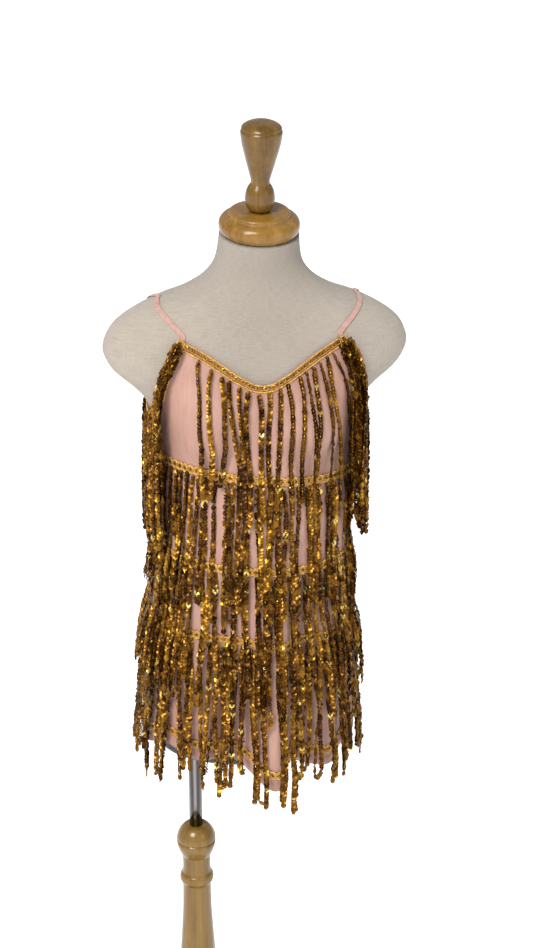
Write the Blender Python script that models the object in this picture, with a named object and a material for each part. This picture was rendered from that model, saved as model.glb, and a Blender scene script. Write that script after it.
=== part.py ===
# A sleeveless flapper mini dress with rows of looped fringe, worn by a limbless
# dress form on a turned wooden stand.
# Metres, +Z up. The origin is the centre of the base's underside, on the pole's axis.
# The front of the dress faces -Y, turned a little towards +X.

from collections import namedtuple
from math import atan2, cos, degrees, exp, hypot, inf, pi, radians, sin, sqrt, tan

import bmesh
import bpy
from mathutils import Matrix, Vector

# Gap kept between neighbouring pieces
GAP = 0.0003

# Edges sharper than this stay crisp, in degrees
SHARP = 40.0
SOFT_SHARP = 55.0

# The form's own axis: where it stands beside the pole, its lean and its turn
FORM_BOTTOM = 0.550
FORM_SHIFT_X = 0.0745
FORM_LEAN = 0.025
FORM_TURN = radians(7.0)

# Neck: its top slopes forward, and the wooden cap lies on that slope
NECK_TOP = 1.2727
NECK_SLOPE_START = 1.215
NECK_SLOPE = tan(radians(11.7))
FORM_COLUMNS = 28
FORM_EDGE_ROUND = 0.007

Section = namedtuple("Section", "height half_width front back forward")

# Sections of the bare form, from its cut bottom to the neck
FORM_SECTIONS = [
    Section(0.550, 0.1260, 0.0930, 0.0920, 0.000),
    Section(0.600, 0.1340, 0.0990, 0.1060, 0.000),
    Section(0.670, 0.1390, 0.1030, 0.1160, 0.000),
    Section(0.740, 0.1340, 0.1010, 0.1100, 0.000),
    Section(0.800, 0.1240, 0.0970, 0.0960, 0.000),
    Section(0.860, 0.1170, 0.0930, 0.0840, 0.000),
    Section(0.920, 0.1200, 0.0950, 0.0840, 0.000),
    Section(0.980, 0.1270, 0.0985, 0.0900, 0.000),
    Section(1.030, 0.1340, 0.1005, 0.0960, 0.000),
    Section(1.060, 0.1460, 0.0980, 0.0990, 0.000),
    Section(1.078, 0.1630, 0.0950, 0.1000, 0.000),
    Section(1.095, 0.1835, 0.0910, 0.1005, 0.000),
    Section(1.111, 0.1950, 0.0870, 0.1005, 0.000),
    Section(1.127, 0.1995, 0.0830, 0.1000, 0.000),
    Section(1.144, 0.1950, 0.0785, 0.0975, 0.000),
    Section(1.160, 0.1840, 0.0735, 0.0935, 0.000),
    Section(1.175, 0.1635, 0.0680, 0.0885, 0.001),
    Section(1.191, 0.1315, 0.0620, 0.0810, 0.002),
    Section(1.199, 0.1070, 0.0590, 0.0770, 0.003),
    Section(1.207, 0.0895, 0.0565, 0.0720, 0.003),
    Section(1.215, 0.0765, 0.0545, 0.0675, 0.004),
    Section(1.223, 0.0670, 0.0530, 0.0635, 0.004),
    Section(1.235, 0.0580, 0.0520, 0.0585, 0.005),
    Section(1.250, 0.0535, 0.0510, 0.0545, 0.006),
    Section(NECK_TOP, 0.0510, 0.0500, 0.0515, 0.008),
]

# Soft rounding of the bust
BUST_ANGLE = radians(36.0)
BUST_SPREAD = radians(21.0)
BUST_HEIGHT = 1.028
BUST_TALL = 0.048
BUST_DEPTH = 0.020

# Cloth wall
CLOTH = 0.0015
CLOTH_EASE = 0.0022
FORM_CLEAR = 0.0012
CLEAR_ROUNDS = 3
CLOTH_BLEND = 0.004
SIDE_GAP = 0.00017

# The loose cloth under the bust, where it leaves the form
DRESS_SECTIONS = [
    Section(0.545, 0.1460, 0.1140, 0.1230, 0.0),
    Section(0.600, 0.1455, 0.1160, 0.1220, 0.0),
    Section(0.650, 0.1440, 0.1200, 0.1210, 0.0),
    Section(0.720, 0.1405, 0.1260, 0.1165, 0.0),
    Section(0.780, 0.1355, 0.1290, 0.1080, 0.0),
    Section(0.850, 0.1310, 0.1290, 0.0990, 0.0),
    Section(0.920, 0.1300, 0.1250, 0.0950, 0.0),
    Section(0.980, 0.1290, 0.1180, 0.0930, 0.0),
    Section(1.030, 0.1240, 0.1060, 0.0900, 0.0),
    Section(1.090, 0.1100, 0.0700, 0.0700, 0.0),
    Section(1.200, 0.0800, 0.0400, 0.0400, 0.0),
]

# Folds of the skirt. Angles are seen from above: 0 is the front, 90 the viewer's right.
# Reach is how far the fold stands out or in at the hem, drop how far the hem hangs there.
Fold = namedtuple("Fold", "angle spread reach start drop")
FOLDS = [
    Fold(8.0, 10.0, 0.048, 0.920, 0.012),
    Fold(-21.0, 12.0, -0.014, 0.860, -0.010),
    Fold(27.0, 7.0, -0.013, 0.800, 0.000),
    Fold(43.0, 12.0, 0.020, 0.860, 0.006),
    Fold(-58.0, 16.0, 0.004, 0.800, -0.022),
    Fold(84.0, 12.0, 0.004, 0.760, 0.000),
    Fold(122.0, 14.0, 0.016, 0.840, 0.004),
    Fold(150.0, 12.0, -0.008, 0.820, 0.000),
    Fold(176.0, 15.0, 0.024, 0.880, 0.008),
    Fold(206.0, 12.0, -0.008, 0.820, 0.000),
    Fold(233.0, 15.0, 0.018, 0.850, 0.004),
]

# Edge line of the dress over the angle from the middle of the front or back
HEM = 0.562
Edge = namedtuple("Edge", "angle height")
FRONT_CORNER = 57.857
FRONT_EDGE = [
    Edge(0.0, 1.0965),
    Edge(7.0, 1.0985),
    Edge(20.0, 1.1100),
    Edge(40.0, 1.1330),
    Edge(FRONT_CORNER, 1.1530),
    Edge(59.6, 1.1240),
    Edge(61.7, 1.0960),
    Edge(64.3, 1.0790),
    Edge(70.7, 1.0640),
    Edge(77.1, 1.0540),
    Edge(83.6, 1.0450),
    Edge(90.0, 1.0370),
]
BACK_CORNER = 54.0
BACK_EDGE = [
    Edge(0.0, 1.1000),
    Edge(18.0, 1.1050),
    Edge(36.0, 1.1200),
    Edge(BACK_CORNER, 1.1420),
    Edge(56.5, 1.1180),
    Edge(59.5, 1.0970),
    Edge(63.0, 1.0820),
    Edge(72.0, 1.0610),
    Edge(81.0, 1.0480),
    Edge(90.0, 1.0370),
]

# Panel grids: columns across half a panel, columns added beside the steep corners,
# and rows above and below the bust line
FRONT_HALF_COLUMNS = 14
BACK_HALF_COLUMNS = 10
FRONT_EXTRA = (59.6, 61.7)
BACK_EXTRA = (56.5, 59.5)
BUST_LINE = 0.955
ROWS_ABOVE = 6
ROWS_BELOW = 7

# Trims: braid strips on the cloth that carry the fringe
BRAID_HEIGHT = 0.0095
BRAID_THICK = 0.0013
BRAID_SEAT = 0.0004
EDGE_BRAID_SEAT = 0.0013
STEEPEST_BRAID = 2.6
CORNER_GAP = radians(0.2)
HEM_BRAID = 0.592
NECK_BRAID_STOPS = (-51.43, -45.0)

# A strand or lock of fringe: where it is rooted, how far it is combed round to its end,
# its length and how far its end stands out, in radians and metres
Strand = namedtuple("Strand", "angle drift length flare")
STRAND_WIDE = 0.0066
STRAND_END_WIDE = 0.0050
STRAND_THICK = 0.0030
STRAND_ROOT_DROP = 0.014
STRAND_SWAY = 0.0022
SWAY_PER_JOINT = 2.2
SWAY_PER_ANGLE = 7.0
RING_STRETCHES = 2
NECK_STRETCHES = 3

# Uneven lengths along a row: two waves of different pitch
Wave = namedtuple("Wave", "pitch start share")
LENGTH_WAVES = [Wave(2.39, 0.7, 0.3), Wave(5.13, 0.0, 0.2)]

# Clearances of the fringe over the cloth and over what it passes
STRAND_OFF_CLOTH = 0.0022
STRAND_OFF_STRAND = 0.0010
STRAND_SPREAD = 0.032
STRAND_NEAR = radians(3.6)
NEAR = 0.006

# Rows of fringe round the dress, the innermost first: height of the braid's upper edge
# in front, how much the right side is lower, the shortest and longest strands, and how
# far their ends stand out
Row = namedtuple("Row", "name height tilt shortest longest flare")
ROWS = [
    Row("fringe_hip", 0.762, 0.006, 0.195, 0.245, 0.008),
    Row("fringe_waist", 0.862, 0.008, 0.170, 0.215, 0.003),
    Row("fringe_chest", 0.983, 0.012, 0.165, 0.200, 0.000),
]

# Fringe on the upper edges: first and last angle, number of strands, shortest and
# longest strand, and how far the first and the last are combed round, in degrees
Spray = namedtuple("Spray", "first last count shortest longest comb_first comb_last")
NECK_SPRAY = Spray(-41.786, 54.643, 16, 0.150, 0.195, 0.0, 0.0)
BACK_SPRAY = Spray(130.5, 229.5, 12, 0.150, 0.185, 0.0, 0.0)
ARM_SPRAYS = [
    Spray(61.0, 88.5, 8, 0.175, 0.205, 6.0, 1.0),
    Spray(94.5, 122.0, 6, 0.150, 0.180, 0.0, -4.0),
]
ARM_LEVEL = 1.045
ARM_END = 0.874
ARM_FLARE_RIGHT = 0.006

# How finely clearances are tested and how often they are put right
FACET_SAMPLES = (0.0, 0.25, 0.5, 0.75, 1.0)
JOINT_SAMPLES = 8
JOINT_ROUNDS = 3
STRIP_ROUNDS = 2
PROBE = radians(1.0)
FINE_PROBE = 0.002

# Straps
STRAP_WIDE = 0.0065
STRAP_THICK = 0.0013
STRAP_LIFT = 0.0007
STRAP_STEPS = 14
STRAP_TOP = 1.1925
STRAP_INSET = 2.0
STRAP_CLEAR = 0.0021
STRAP_BOW = 1.7

# Pole, post and base
POLE_RADIUS = 0.0095
POST_TOP = 0.4000
POLE_SIDES = 16
POST_SIDES = 20
CAP_SIDES = 28
BASE_SIDES = 32

Turn = namedtuple("Turn", "height radius")
POST_PROFILE = [
    Turn(0.4000, 0.0160),
    Turn(0.3960, 0.0215),
    Turn(0.3860, 0.0270),
    Turn(0.3785, 0.0284),
    Turn(0.3765, 0.0268),
    Turn(0.3745, 0.0284),
    Turn(0.3620, 0.0262),
    Turn(0.3520, 0.0220),
    Turn(0.3440, 0.0205),
    Turn(0.3240, 0.0205),
    Turn(0.3185, 0.0240),
    Turn(0.3130, 0.0248),
    Turn(0.3075, 0.0238),
    Turn(0.3020, 0.0208),
    Turn(0.2600, 0.0212),
    Turn(0.2000, 0.0248),
    Turn(0.1400, 0.0285),
    Turn(0.1000, 0.0270),
    Turn(0.0750, 0.0215),
    Turn(0.0620, 0.0225),
    Turn(0.0520, 0.0330),
    Turn(0.0400, 0.0400),
]
BASE_PROFILE = [
    Turn(0.0000, 0.1740),
    Turn(0.0040, 0.1790),
    Turn(0.0120, 0.1800),
    Turn(0.0200, 0.1770),
    Turn(0.0250, 0.1690),
    Turn(0.0280, 0.1560),
    Turn(0.0340, 0.1000),
    Turn(0.0397, 0.0520),
]
FINIAL_PROFILE = [
    Turn(0.0000, 0.0110),
    Turn(0.0030, 0.0150),
    Turn(0.0100, 0.0184),
    Turn(0.0180, 0.0192),
    Turn(0.0270, 0.0178),
    Turn(0.0340, 0.0140),
    Turn(0.0380, 0.0122),
    Turn(0.0430, 0.0126),
    Turn(0.0600, 0.0172),
    Turn(0.0800, 0.0226),
    Turn(0.0990, 0.0262),
    Turn(0.1045, 0.0262),
    Turn(0.1065, 0.0246),
    Turn(0.1085, 0.0252),
    Turn(0.1130, 0.0205),
    Turn(0.1165, 0.0120),
]
CAP_PROFILE = [
    Turn(0.0000, 0.0440),
    Turn(0.0030, 0.0490),
    Turn(0.0080, 0.0516),
    Turn(0.0130, 0.0520),
    Turn(0.0185, 0.0500),
    Turn(0.0225, 0.0455),
    Turn(0.0240, 0.0405),
    Turn(0.0246, 0.0395),
    Turn(0.0280, 0.0392),
    Turn(0.0295, 0.0370),
]


def slope_at(rows, index, column):
    """Slope of a table's column at one row, from its neighbours."""
    low = max(index - 1, 0)
    high = min(index + 1, len(rows) - 1)
    return (rows[high][column] - rows[low][column]) / (rows[high][0] - rows[low][0])


def read_curve(rows, column, place):
    """Smooth curve through one named column of a table, read at a place."""
    if place <= rows[0][0]:
        return rows[0][column]
    if place >= rows[-1][0]:
        return rows[-1][column]
    index = 0
    while rows[index + 1][0] < place:
        index += 1
    step = rows[index + 1][0] - rows[index][0]
    t = (place - rows[index][0]) / step
    start = rows[index][column]
    end = rows[index + 1][column]
    start_slope = slope_at(rows, index, column) * step
    end_slope = slope_at(rows, index + 1, column) * step
    curve = (2 * t**3 - 3 * t**2 + 1) * start + (t**3 - 2 * t**2 + t) * start_slope
    return curve + (3 * t**2 - 2 * t**3) * end + (t**3 - t**2) * end_slope


def read_line(rows, place):
    """Straight lines through a table's points, read at a place."""
    for first, second in zip(rows, rows[1:]):
        if place <= second[0]:
            t = (place - first[0]) / (second[0] - first[0])
            return first[1] + (second[1] - first[1]) * t
    return rows[-1][1]


def smooth(t):
    t = min(max(t, 0.0), 1.0)
    return t * t * (3 - 2 * t)


def turned_apart(angle, other):
    """Degrees between two angles, the short way round."""
    return abs((angle - other + 180.0) % 360.0 - 180.0)


def section_radius(sections, angle, height):
    """Distance from the axis to an oval section, along an angle in radians."""
    half_width = read_curve(sections, 1, height)
    depth = read_curve(sections, 2 if cos(angle) > 0 else 3, height)
    return 1.0 / hypot(sin(angle) / half_width, cos(angle) / depth)


def form_radius(angle, height):
    """The bare form, with its bust."""
    radius = section_radius(FORM_SECTIONS, angle, height)
    side = abs((angle + pi) % (2 * pi) - pi)
    around = (side - BUST_ANGLE) / BUST_SPREAD
    along = (height - BUST_HEIGHT) / BUST_TALL
    return radius + BUST_DEPTH * exp(-around * around - along * along)


def fold_growth(fold, height):
    return smooth((fold.start - height) / (fold.start - HEM))


def fold_reach(angle, height):
    total = 0.0
    for fold in FOLDS:
        across = turned_apart(degrees(angle), fold.angle) / fold.spread
        total += fold.reach * fold_growth(fold, height) * exp(-across * across)
    return total


def hem_height(angle):
    drop = 0.0
    for fold in FOLDS:
        across = turned_apart(degrees(angle), fold.angle) / fold.spread
        drop += fold.drop * exp(-across * across)
    return HEM - drop


def cloth_inside(angle, height):
    """Inner face of the cloth: on the form above, loose and folded below."""
    on_form = form_radius(angle, height) + CLOTH_EASE
    loose = section_radius(DRESS_SECTIONS, angle, height) + fold_reach(angle, height)
    apart = on_form - loose
    return 0.5 * (on_form + loose + sqrt(apart * apart + CLOTH_BLEND * CLOTH_BLEND))


def place(angle, height, radius, forward=0.0):
    """World point from the form's own angle, height and radius."""
    side = radius * sin(angle)
    front = radius * cos(angle) + forward
    axis_x = FORM_SHIFT_X + FORM_LEAN * (height - FORM_BOTTOM)
    return Vector((
        axis_x + side * cos(FORM_TURN) + front * sin(FORM_TURN),
        side * sin(FORM_TURN) - front * cos(FORM_TURN),
        height,
    ))


def make_material(name, colour, roughness, metallic=0.0):
    material = bpy.data.materials.new(name)
    material.use_nodes = True
    shader = material.node_tree.nodes["Principled BSDF"]
    shader.inputs["Base Color"].default_value = (*colour, 1.0)
    shader.inputs["Roughness"].default_value = roughness
    shader.inputs["Metallic"].default_value = metallic
    return material


def add_object(name, bm, material, crease=SHARP):
    bmesh.ops.recalc_face_normals(bm, faces=bm.faces)
    bmesh.ops.triangulate(bm, faces=bm.faces)
    mesh = bpy.data.meshes.new(name)
    bm.to_mesh(mesh)
    bm.free()
    mesh.shade_smooth()
    mesh.set_sharp_from_angle(angle=radians(crease))
    mesh.materials.append(material)
    piece = bpy.data.objects.new(name, mesh)
    bpy.context.scene.collection.objects.link(piece)
    return piece


def bridge_rings(bm, first, second):
    count = len(first)
    for index in range(count):
        following = (index + 1) % count
        bm.faces.new((first[index], first[following], second[following], second[index]))


def turned_solid(name, profile, sides, material, matrix):
    """A solid turned on a lathe, from a table of heights and radii."""
    bm = bmesh.new()
    rings = []
    for row in profile:
        ring = []
        for index in range(sides):
            turn = 2 * pi * index / sides
            spot = Vector((row.radius * cos(turn), row.radius * sin(turn), row.height))
            ring.append(bm.verts.new(matrix @ spot))
        rings.append(ring)
    for lower, upper in zip(rings, rings[1:]):
        bridge_rings(bm, lower, upper)
    bm.faces.new(rings[0])
    bm.faces.new(rings[-1])
    return add_object(name, bm, material)


def form_point(angle, height, inset=0.0):
    forward = read_curve(FORM_SECTIONS, 4, height)
    spot = place(angle, height, form_radius(angle, height) - inset, forward)
    share = smooth((height - NECK_SLOPE_START) / (NECK_TOP - NECK_SLOPE_START))
    spot.z -= share * NECK_SLOPE * form_radius(angle, height) * cos(angle)
    return spot


def build_form(material):
    """The limbless torso: one smooth closed solid."""
    bm = bmesh.new()
    levels = [(FORM_BOTTOM, FORM_EDGE_ROUND), (FORM_BOTTOM + FORM_EDGE_ROUND, 0.0)]
    levels += [(row.height, 0.0) for row in FORM_SECTIONS[1:]]
    rings = []
    for height, inset in levels:
        ring = []
        for index in range(FORM_COLUMNS):
            angle = 2 * pi * index / FORM_COLUMNS
            ring.append(bm.verts.new(form_point(angle, height, inset)))
        rings.append(ring)
    for lower, upper in zip(rings, rings[1:]):
        bridge_rings(bm, lower, upper)
    bm.faces.new(rings[0])
    bm.faces.new(rings[-1])
    return add_object("form_torso", bm, material, SOFT_SHARP)


def shortfall(corners, limit):
    """How far a four-cornered facet falls inside a limit. The corners are angle, height
    and radius: first side upper and lower, then second side upper and lower."""
    need = 0.0
    for across in FACET_SAMPLES:
        for down in FACET_SAMPLES:
            shares = ((1 - across) * (1 - down), (1 - across) * down,
                      across * (1 - down), across * down)
            side = sum(s * c[2] * sin(c[0]) for s, c in zip(shares, corners))
            front = sum(s * c[2] * cos(c[0]) for s, c in zip(shares, corners))
            height = sum(s * c[1] for s, c in zip(shares, corners))
            need = max(need, limit(atan2(side, front), height) - hypot(side, front))
    return need


class Panel:
    """One cut piece of the dress: a grid of points down from its shaped top edge."""

    def __init__(self, middle, half_columns, extra, edge):
        self.middle = radians(middle)
        self.edge = edge
        turns = [90.0 * (index - half_columns) / half_columns
                 for index in range(2 * half_columns + 1)]
        self.bays = [radians(before + after) / 2 for before, after in zip(turns, turns[1:])]
        turns += [side * turn for turn in extra for side in (-1, 1)]
        self.turns = [radians(turn) for turn in sorted(turns)]
        self.columns = [self.column(turn) for turn in self.turns]
        for _ in range(CLEAR_ROUNDS):
            self.clear_form()

    def clear_form(self):
        """Move points out where a flat facet between them comes close to the form."""
        rows = len(self.columns[0])
        lifts = [[0.0] * rows for _ in self.columns]
        for index in range(len(self.turns) - 1):
            for row in range(rows - 1):
                need = self.facet_need(index, row)
                for side in (index, index + 1):
                    for level in (row, row + 1):
                        lifts[side][level] = max(lifts[side][level], need)
        for column, lift in zip(self.columns, lifts):
            column[:] = [(height, radius + more) for (height, radius), more in zip(column, lift)]

    def facet_need(self, index, row):
        """How far one facet falls short of its clearance over the form."""
        corners = []
        for side in (index, index + 1):
            for level in (row, row + 1):
                height, radius = self.columns[side][level]
                corners.append((self.middle + self.turns[side], height, radius))

        def bare(angle, height):
            return form_radius(angle, height) + FORM_CLEAR

        return shortfall(corners, bare)

    def top(self, turn):
        return read_line(self.edge, abs(degrees(turn)))

    def column(self, turn):
        """Heights and inner radii down one column."""
        angle = self.middle + turn
        top = self.top(turn)
        bottom = hem_height(angle)
        heights = [top + (BUST_LINE - top) * row / ROWS_ABOVE for row in range(ROWS_ABOVE)]
        heights += [BUST_LINE + (bottom - BUST_LINE) * row / ROWS_BELOW
                    for row in range(ROWS_BELOW + 1)]
        return [(height, cloth_inside(angle, height)) for height in heights]

    def column_radius(self, index, height):
        """Outer radius of the cloth on one column, straight between its points."""
        column = self.columns[index]
        for upper, lower in zip(column, column[1:]):
            if height >= lower[0]:
                t = (upper[0] - height) / (upper[0] - lower[0])
                return upper[1] + (lower[1] - upper[1]) * t + CLOTH
        return column[-1][1] + CLOTH

    def outside(self, turn, height):
        """Outer radius of the faceted cloth at any angle of the panel."""
        turn = min(max(turn, self.turns[0]), self.turns[-1])
        index = 0
        while self.turns[index + 1] < turn and index < len(self.turns) - 2:
            index += 1
        before = self.column_radius(index, height)
        after = self.column_radius(index + 1, height)
        span = sin(self.turns[index + 1] - self.turns[index])
        near = before * sin(turn - self.turns[index])
        far = after * sin(self.turns[index + 1] - turn)
        return before * after * span / (near + far)


FRONT = Panel(0.0, FRONT_HALF_COLUMNS, FRONT_EXTRA, FRONT_EDGE)
BACK = Panel(180.0, BACK_HALF_COLUMNS, BACK_EXTRA, BACK_EDGE)


def panel_at(angle):
    """The panel that an angle falls on, and the angle from that panel's middle."""
    turn = (angle + pi) % (2 * pi) - pi
    if abs(turn) <= pi / 2:
        return FRONT, turn
    return BACK, angle % (2 * pi) - pi


def cloth_outside(angle, height):
    panel, turn = panel_at(angle)
    return panel.outside(turn, height)


def edge_height(angle):
    panel, turn = panel_at(angle)
    return panel.top(turn)


def build_panel(name, panel, material):
    """A cloth wall between an outer and an inner grid, closed at its four edges."""
    bm = bmesh.new()
    last = len(panel.turns) - 1
    grids = []
    for thickness in (0.0, CLOTH):
        grid = []
        for index, turn in enumerate(panel.turns):
            column = []
            for height, inner in panel.columns[index]:
                radius = inner + thickness
                seam = SIDE_GAP / radius
                inward = seam if index == 0 else -seam if index == last else 0.0
                angle = panel.middle + turn + inward
                column.append(bm.verts.new(place(angle, height, radius)))
            grid.append(column)
        grids.append(grid)
    inner_grid, outer_grid = grids
    rows = len(panel.columns[0]) - 1
    for index in range(last):
        for row in range(rows):
            for grid, flip in ((outer_grid, False), (inner_grid, True)):
                quad = [grid[index][row], grid[index][row + 1],
                        grid[index + 1][row + 1], grid[index + 1][row]]
                bm.faces.new(quad[::-1] if flip else quad)
        for row in (0, rows):
            bm.faces.new((outer_grid[index][row], outer_grid[index + 1][row],
                          inner_grid[index + 1][row], inner_grid[index][row]))
    for index in (0, last):
        for row in range(rows):
            bm.faces.new((outer_grid[index][row], outer_grid[index][row + 1],
                          inner_grid[index][row + 1], inner_grid[index][row]))
    return add_object(name, bm, material, SOFT_SHARP)


def uneven(index, shortest, longest):
    """Lengths that vary along a row, the same on each run."""
    level = 0.5 + sum(wave.share * sin(wave.pitch * index + wave.start)
                      for wave in LENGTH_WAVES)
    return shortest + (longest - shortest) * level


def covered_radius(angle, height):
    """Outer radius of whatever the fringe hangs over: cloth, or bare form above it."""
    panel, turn = panel_at(angle)
    if height > panel.top(turn):
        return form_radius(angle, height) + CLOTH_EASE + CLOTH
    return panel.outside(turn, max(height, hem_height(angle)))


class Layers:
    """What already lies on the cloth: strips and strands that later fringe hangs over."""

    def __init__(self):
        self.strips = []
        self.strands = []

    def add_strip(self, first, last, top, drop, lift):
        self.strips.append((first, last, top, drop, lift + BRAID_THICK))

    def add_strand(self, angles, heights, radii):
        joints = list(zip(heights, [radius + STRAND_THICK for radius in radii]))
        self.strands.append((angles, joints))

    def limit(self, angle, height):
        """Least radius for the back of a strand at a place."""
        cloth = max(covered_radius(angle + turn, height)
                    for turn in (-STRAND_SPREAD, 0.0, STRAND_SPREAD))
        reach = cloth + STRAND_OFF_CLOTH
        for first, last, top, drop, thick in self.strips:
            upper = top(angle)
            inside = first <= angle <= last
            if inside and upper - drop(angle) - NEAR < height < upper + NEAR:
                reach = max(reach, cloth + thick + STRAND_OFF_STRAND)
        for angles, joints in self.strands:
            if abs((angles[0] - angle + pi) % (2 * pi) - pi) > STRAND_NEAR:
                continue
            if joints[-1][0] - NEAR < height < joints[0][0] + NEAR:
                reach = max(reach, joint_line(joints, height) + STRAND_OFF_STRAND)
        return reach


def joint_line(joints, height):
    """Outer radius along a strand's straight stretches."""
    for upper, lower in zip(joints, joints[1:]):
        if height >= lower[0]:
            t = min(max((upper[0] - height) / (upper[0] - lower[0]), 0.0), 1.0)
            return upper[1] + (lower[1] - upper[1]) * t
    return joints[-1][1]


def joint_radii(angles, heights, limit):
    """Radii of a strand's joints. The strand hangs plumb or outwards, and each straight
    stretch is moved out until it clears the limit."""
    radii = [limit(angle, height) for angle, height in zip(angles, heights)]
    for _ in range(JOINT_ROUNDS):
        for index in range(1, len(radii)):
            radii[index] = max(radii[index], radii[index - 1])
        for index in range(len(radii) - 1):
            need = 0.0
            for sample in range(1, JOINT_SAMPLES):
                share = sample / JOINT_SAMPLES
                angle = angles[index] + (angles[index + 1] - angles[index]) * share
                height = heights[index] + (heights[index + 1] - heights[index]) * share
                chord = radii[index] + (radii[index + 1] - radii[index]) * share
                need = max(need, limit(angle, height) - chord)
            radii[index] += need
            radii[index + 1] += need
    return radii


# Corner roles of a root face, in the order in which build_trim makes it: the side of
# the strand, and whether the corner is on the outer face
ROOT_ROLES = [(-1, True), (-1, False), (1, False), (1, True)]


def extrude_strand(bm, root, strand, start, layers, stretches):
    """Draw one strand out of its root face, joint by joint."""
    first = start - STRAND_ROOT_DROP
    rest = strand.length - STRAND_ROOT_DROP
    heights = [first - rest * step / stretches for step in range(stretches + 1)]
    angles = [strand.angle + strand.drift * smooth((start - height) / strand.length)
              for height in heights]
    radii = joint_radii(angles, heights, layers.limit)
    radii = [radius + strand.flare * step / stretches for step, radius in enumerate(radii)]
    face = root
    for index, height in enumerate(heights):
        corners = [vert.co.copy() for vert in face.verts]
        face = bmesh.ops.extrude_discrete_faces(bm, faces=[face])["faces"][0]
        share = index / stretches
        wide = STRAND_WIDE + (STRAND_END_WIDE - STRAND_WIDE) * share
        wander = STRAND_SWAY * sin(SWAY_PER_JOINT * index + SWAY_PER_ANGLE * strand.angle)
        for vert in face.verts:
            role = min(range(4), key=lambda corner: (corners[corner] - vert.co).length)
            side, outer = ROOT_ROLES[role]
            radius = radii[index] + (STRAND_THICK if outer else 0.0)
            turn = angles[index] + (side * wide / 2 + wander * share) / radii[index]
            vert.co = place(turn, height, radius)
    return angles, heights, radii


def edge_drop(angle):
    """Height of a strip of even width, along an edge that may slope."""
    rise = edge_height(angle + PROBE) - edge_height(angle - PROBE)
    run = 2 * PROBE * cloth_outside(angle, edge_height(angle) - BRAID_HEIGHT)
    slope = min(abs(rise / run), STEEPEST_BRAID)
    return BRAID_HEIGHT * hypot(1.0, slope)


def level_drop(angle):
    return BRAID_HEIGHT


def strip_lifts(stops, top, drop, closed):
    """How far each stop of a strip stands off the cloth, so that the flat stretches
    between stops clear the cloth's own corners."""
    lifts = [BRAID_SEAT if closed else EDGE_BRAID_SEAT] * len(stops)

    def cloth(angle, height):
        return covered_radius(angle, height) + GAP

    for _ in range(STRIP_ROUNDS):
        for index in range(len(stops) if closed else len(stops) - 1):
            following = (index + 1) % len(stops)
            corners = []
            for stop, lift in ((stops[index], lifts[index]), (stops[following], lifts[following])):
                for height in (top(stop), top(stop) - drop(stop)):
                    corners.append((stop, height, cloth_outside(stop, height) + lift))
            need = shortfall(corners, cloth)
            lifts[index] += need
            lifts[following] += need
    return lifts


def build_trim(name, material, strands, extras, closed, top, drop, layers, stretches):
    """A braid strip on the cloth, with its strands drawn out of its lower edge. Extras
    are the strip's other stops, given as angles."""
    bm = bmesh.new()
    roots = {}
    stops = list(extras)
    for strand in strands:
        half = STRAND_WIDE / 2 / cloth_outside(strand.angle, top(strand.angle) - BRAID_HEIGHT)
        roots[strand.angle - half] = strand
        stops += [strand.angle - half, strand.angle + half]
    stops.sort()
    lifts = strip_lifts(stops, top, drop, closed)
    posts = []
    for angle, lift in zip(stops, lifts):
        post = []
        for level in (top(angle), top(angle) - drop(angle)):
            seat = cloth_outside(angle, level) + lift
            post.append(bm.verts.new(place(angle, level, seat)))
            post.append(bm.verts.new(place(angle, level, seat + BRAID_THICK)))
        posts.append(post)
    root_faces = []
    for index in range(len(stops) if closed else len(stops) - 1):
        top_in, top_out, low_in, low_out = posts[index]
        next_top_in, next_top_out, next_low_in, next_low_out = posts[(index + 1) % len(stops)]
        bm.faces.new((top_out, low_out, next_low_out, next_top_out))
        bm.faces.new((top_in, next_top_in, next_low_in, low_in))
        bm.faces.new((top_in, top_out, next_top_out, next_top_in))
        bottom = bm.faces.new((low_out, low_in, next_low_in, next_low_out))
        if stops[index] in roots:
            root_faces.append((bottom, roots[stops[index]]))
    if not closed:
        for top_in, top_out, low_in, low_out in (posts[0], posts[-1]):
            bm.faces.new((top_in, low_in, low_out, top_out))
    bmesh.ops.recalc_face_normals(bm, faces=bm.faces)
    drawn = []
    for bottom, strand in root_faces:
        start = top(strand.angle) - drop(strand.angle)
        drawn.append(extrude_strand(bm, bottom, strand, start, layers, stretches))
    for path in drawn:
        layers.add_strand(*path)
    ends = (-inf, inf) if closed else (stops[0], stops[-1])
    layers.add_strip(*ends, top, drop, max(lifts))
    return add_object(name, bm, material)


def bay_middles():
    """The middle angle of each bay between two columns, round the whole dress."""
    middles = []
    for panel in (FRONT, BACK):
        middles += [panel.middle + bay for bay in panel.bays]
    return middles


def ring_height(row):
    """Height of a fringe row round the dress, a little lower on the viewer's right."""
    def height(angle):
        return row.height - row.tilt * sin(angle)
    return height


def build_rings(material, layers):
    for row in ROWS:
        strands = []
        for index, angle in enumerate(bay_middles()):
            length = uneven(index, row.shortest, row.longest)
            strands.append(Strand(angle, 0.0, length, row.flare))
        build_trim(row.name, material, strands, [], True, ring_height(row), level_drop,
                   layers, RING_STRETCHES)


def build_hem(material, layers):
    stops = [panel.middle + turn for panel in (FRONT, BACK) for turn in panel.turns[:-1]]

    def height(angle):
        return HEM_BRAID - (HEM - hem_height(angle))

    build_trim("trim_hem", material, [], stops, True, height, level_drop, layers, 0)


def spray_strands(spray, side=1):
    strands = []
    for index in range(spray.count):
        share = index / (spray.count - 1)
        angle = side * radians(spray.first + (spray.last - spray.first) * share)
        comb = side * radians(spray.comb_first + (spray.comb_last - spray.comb_first) * share)
        length = uneven(index, spray.shortest, spray.longest)
        strands.append(Strand(angle, comb, length, 0.0))
    return strands


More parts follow.
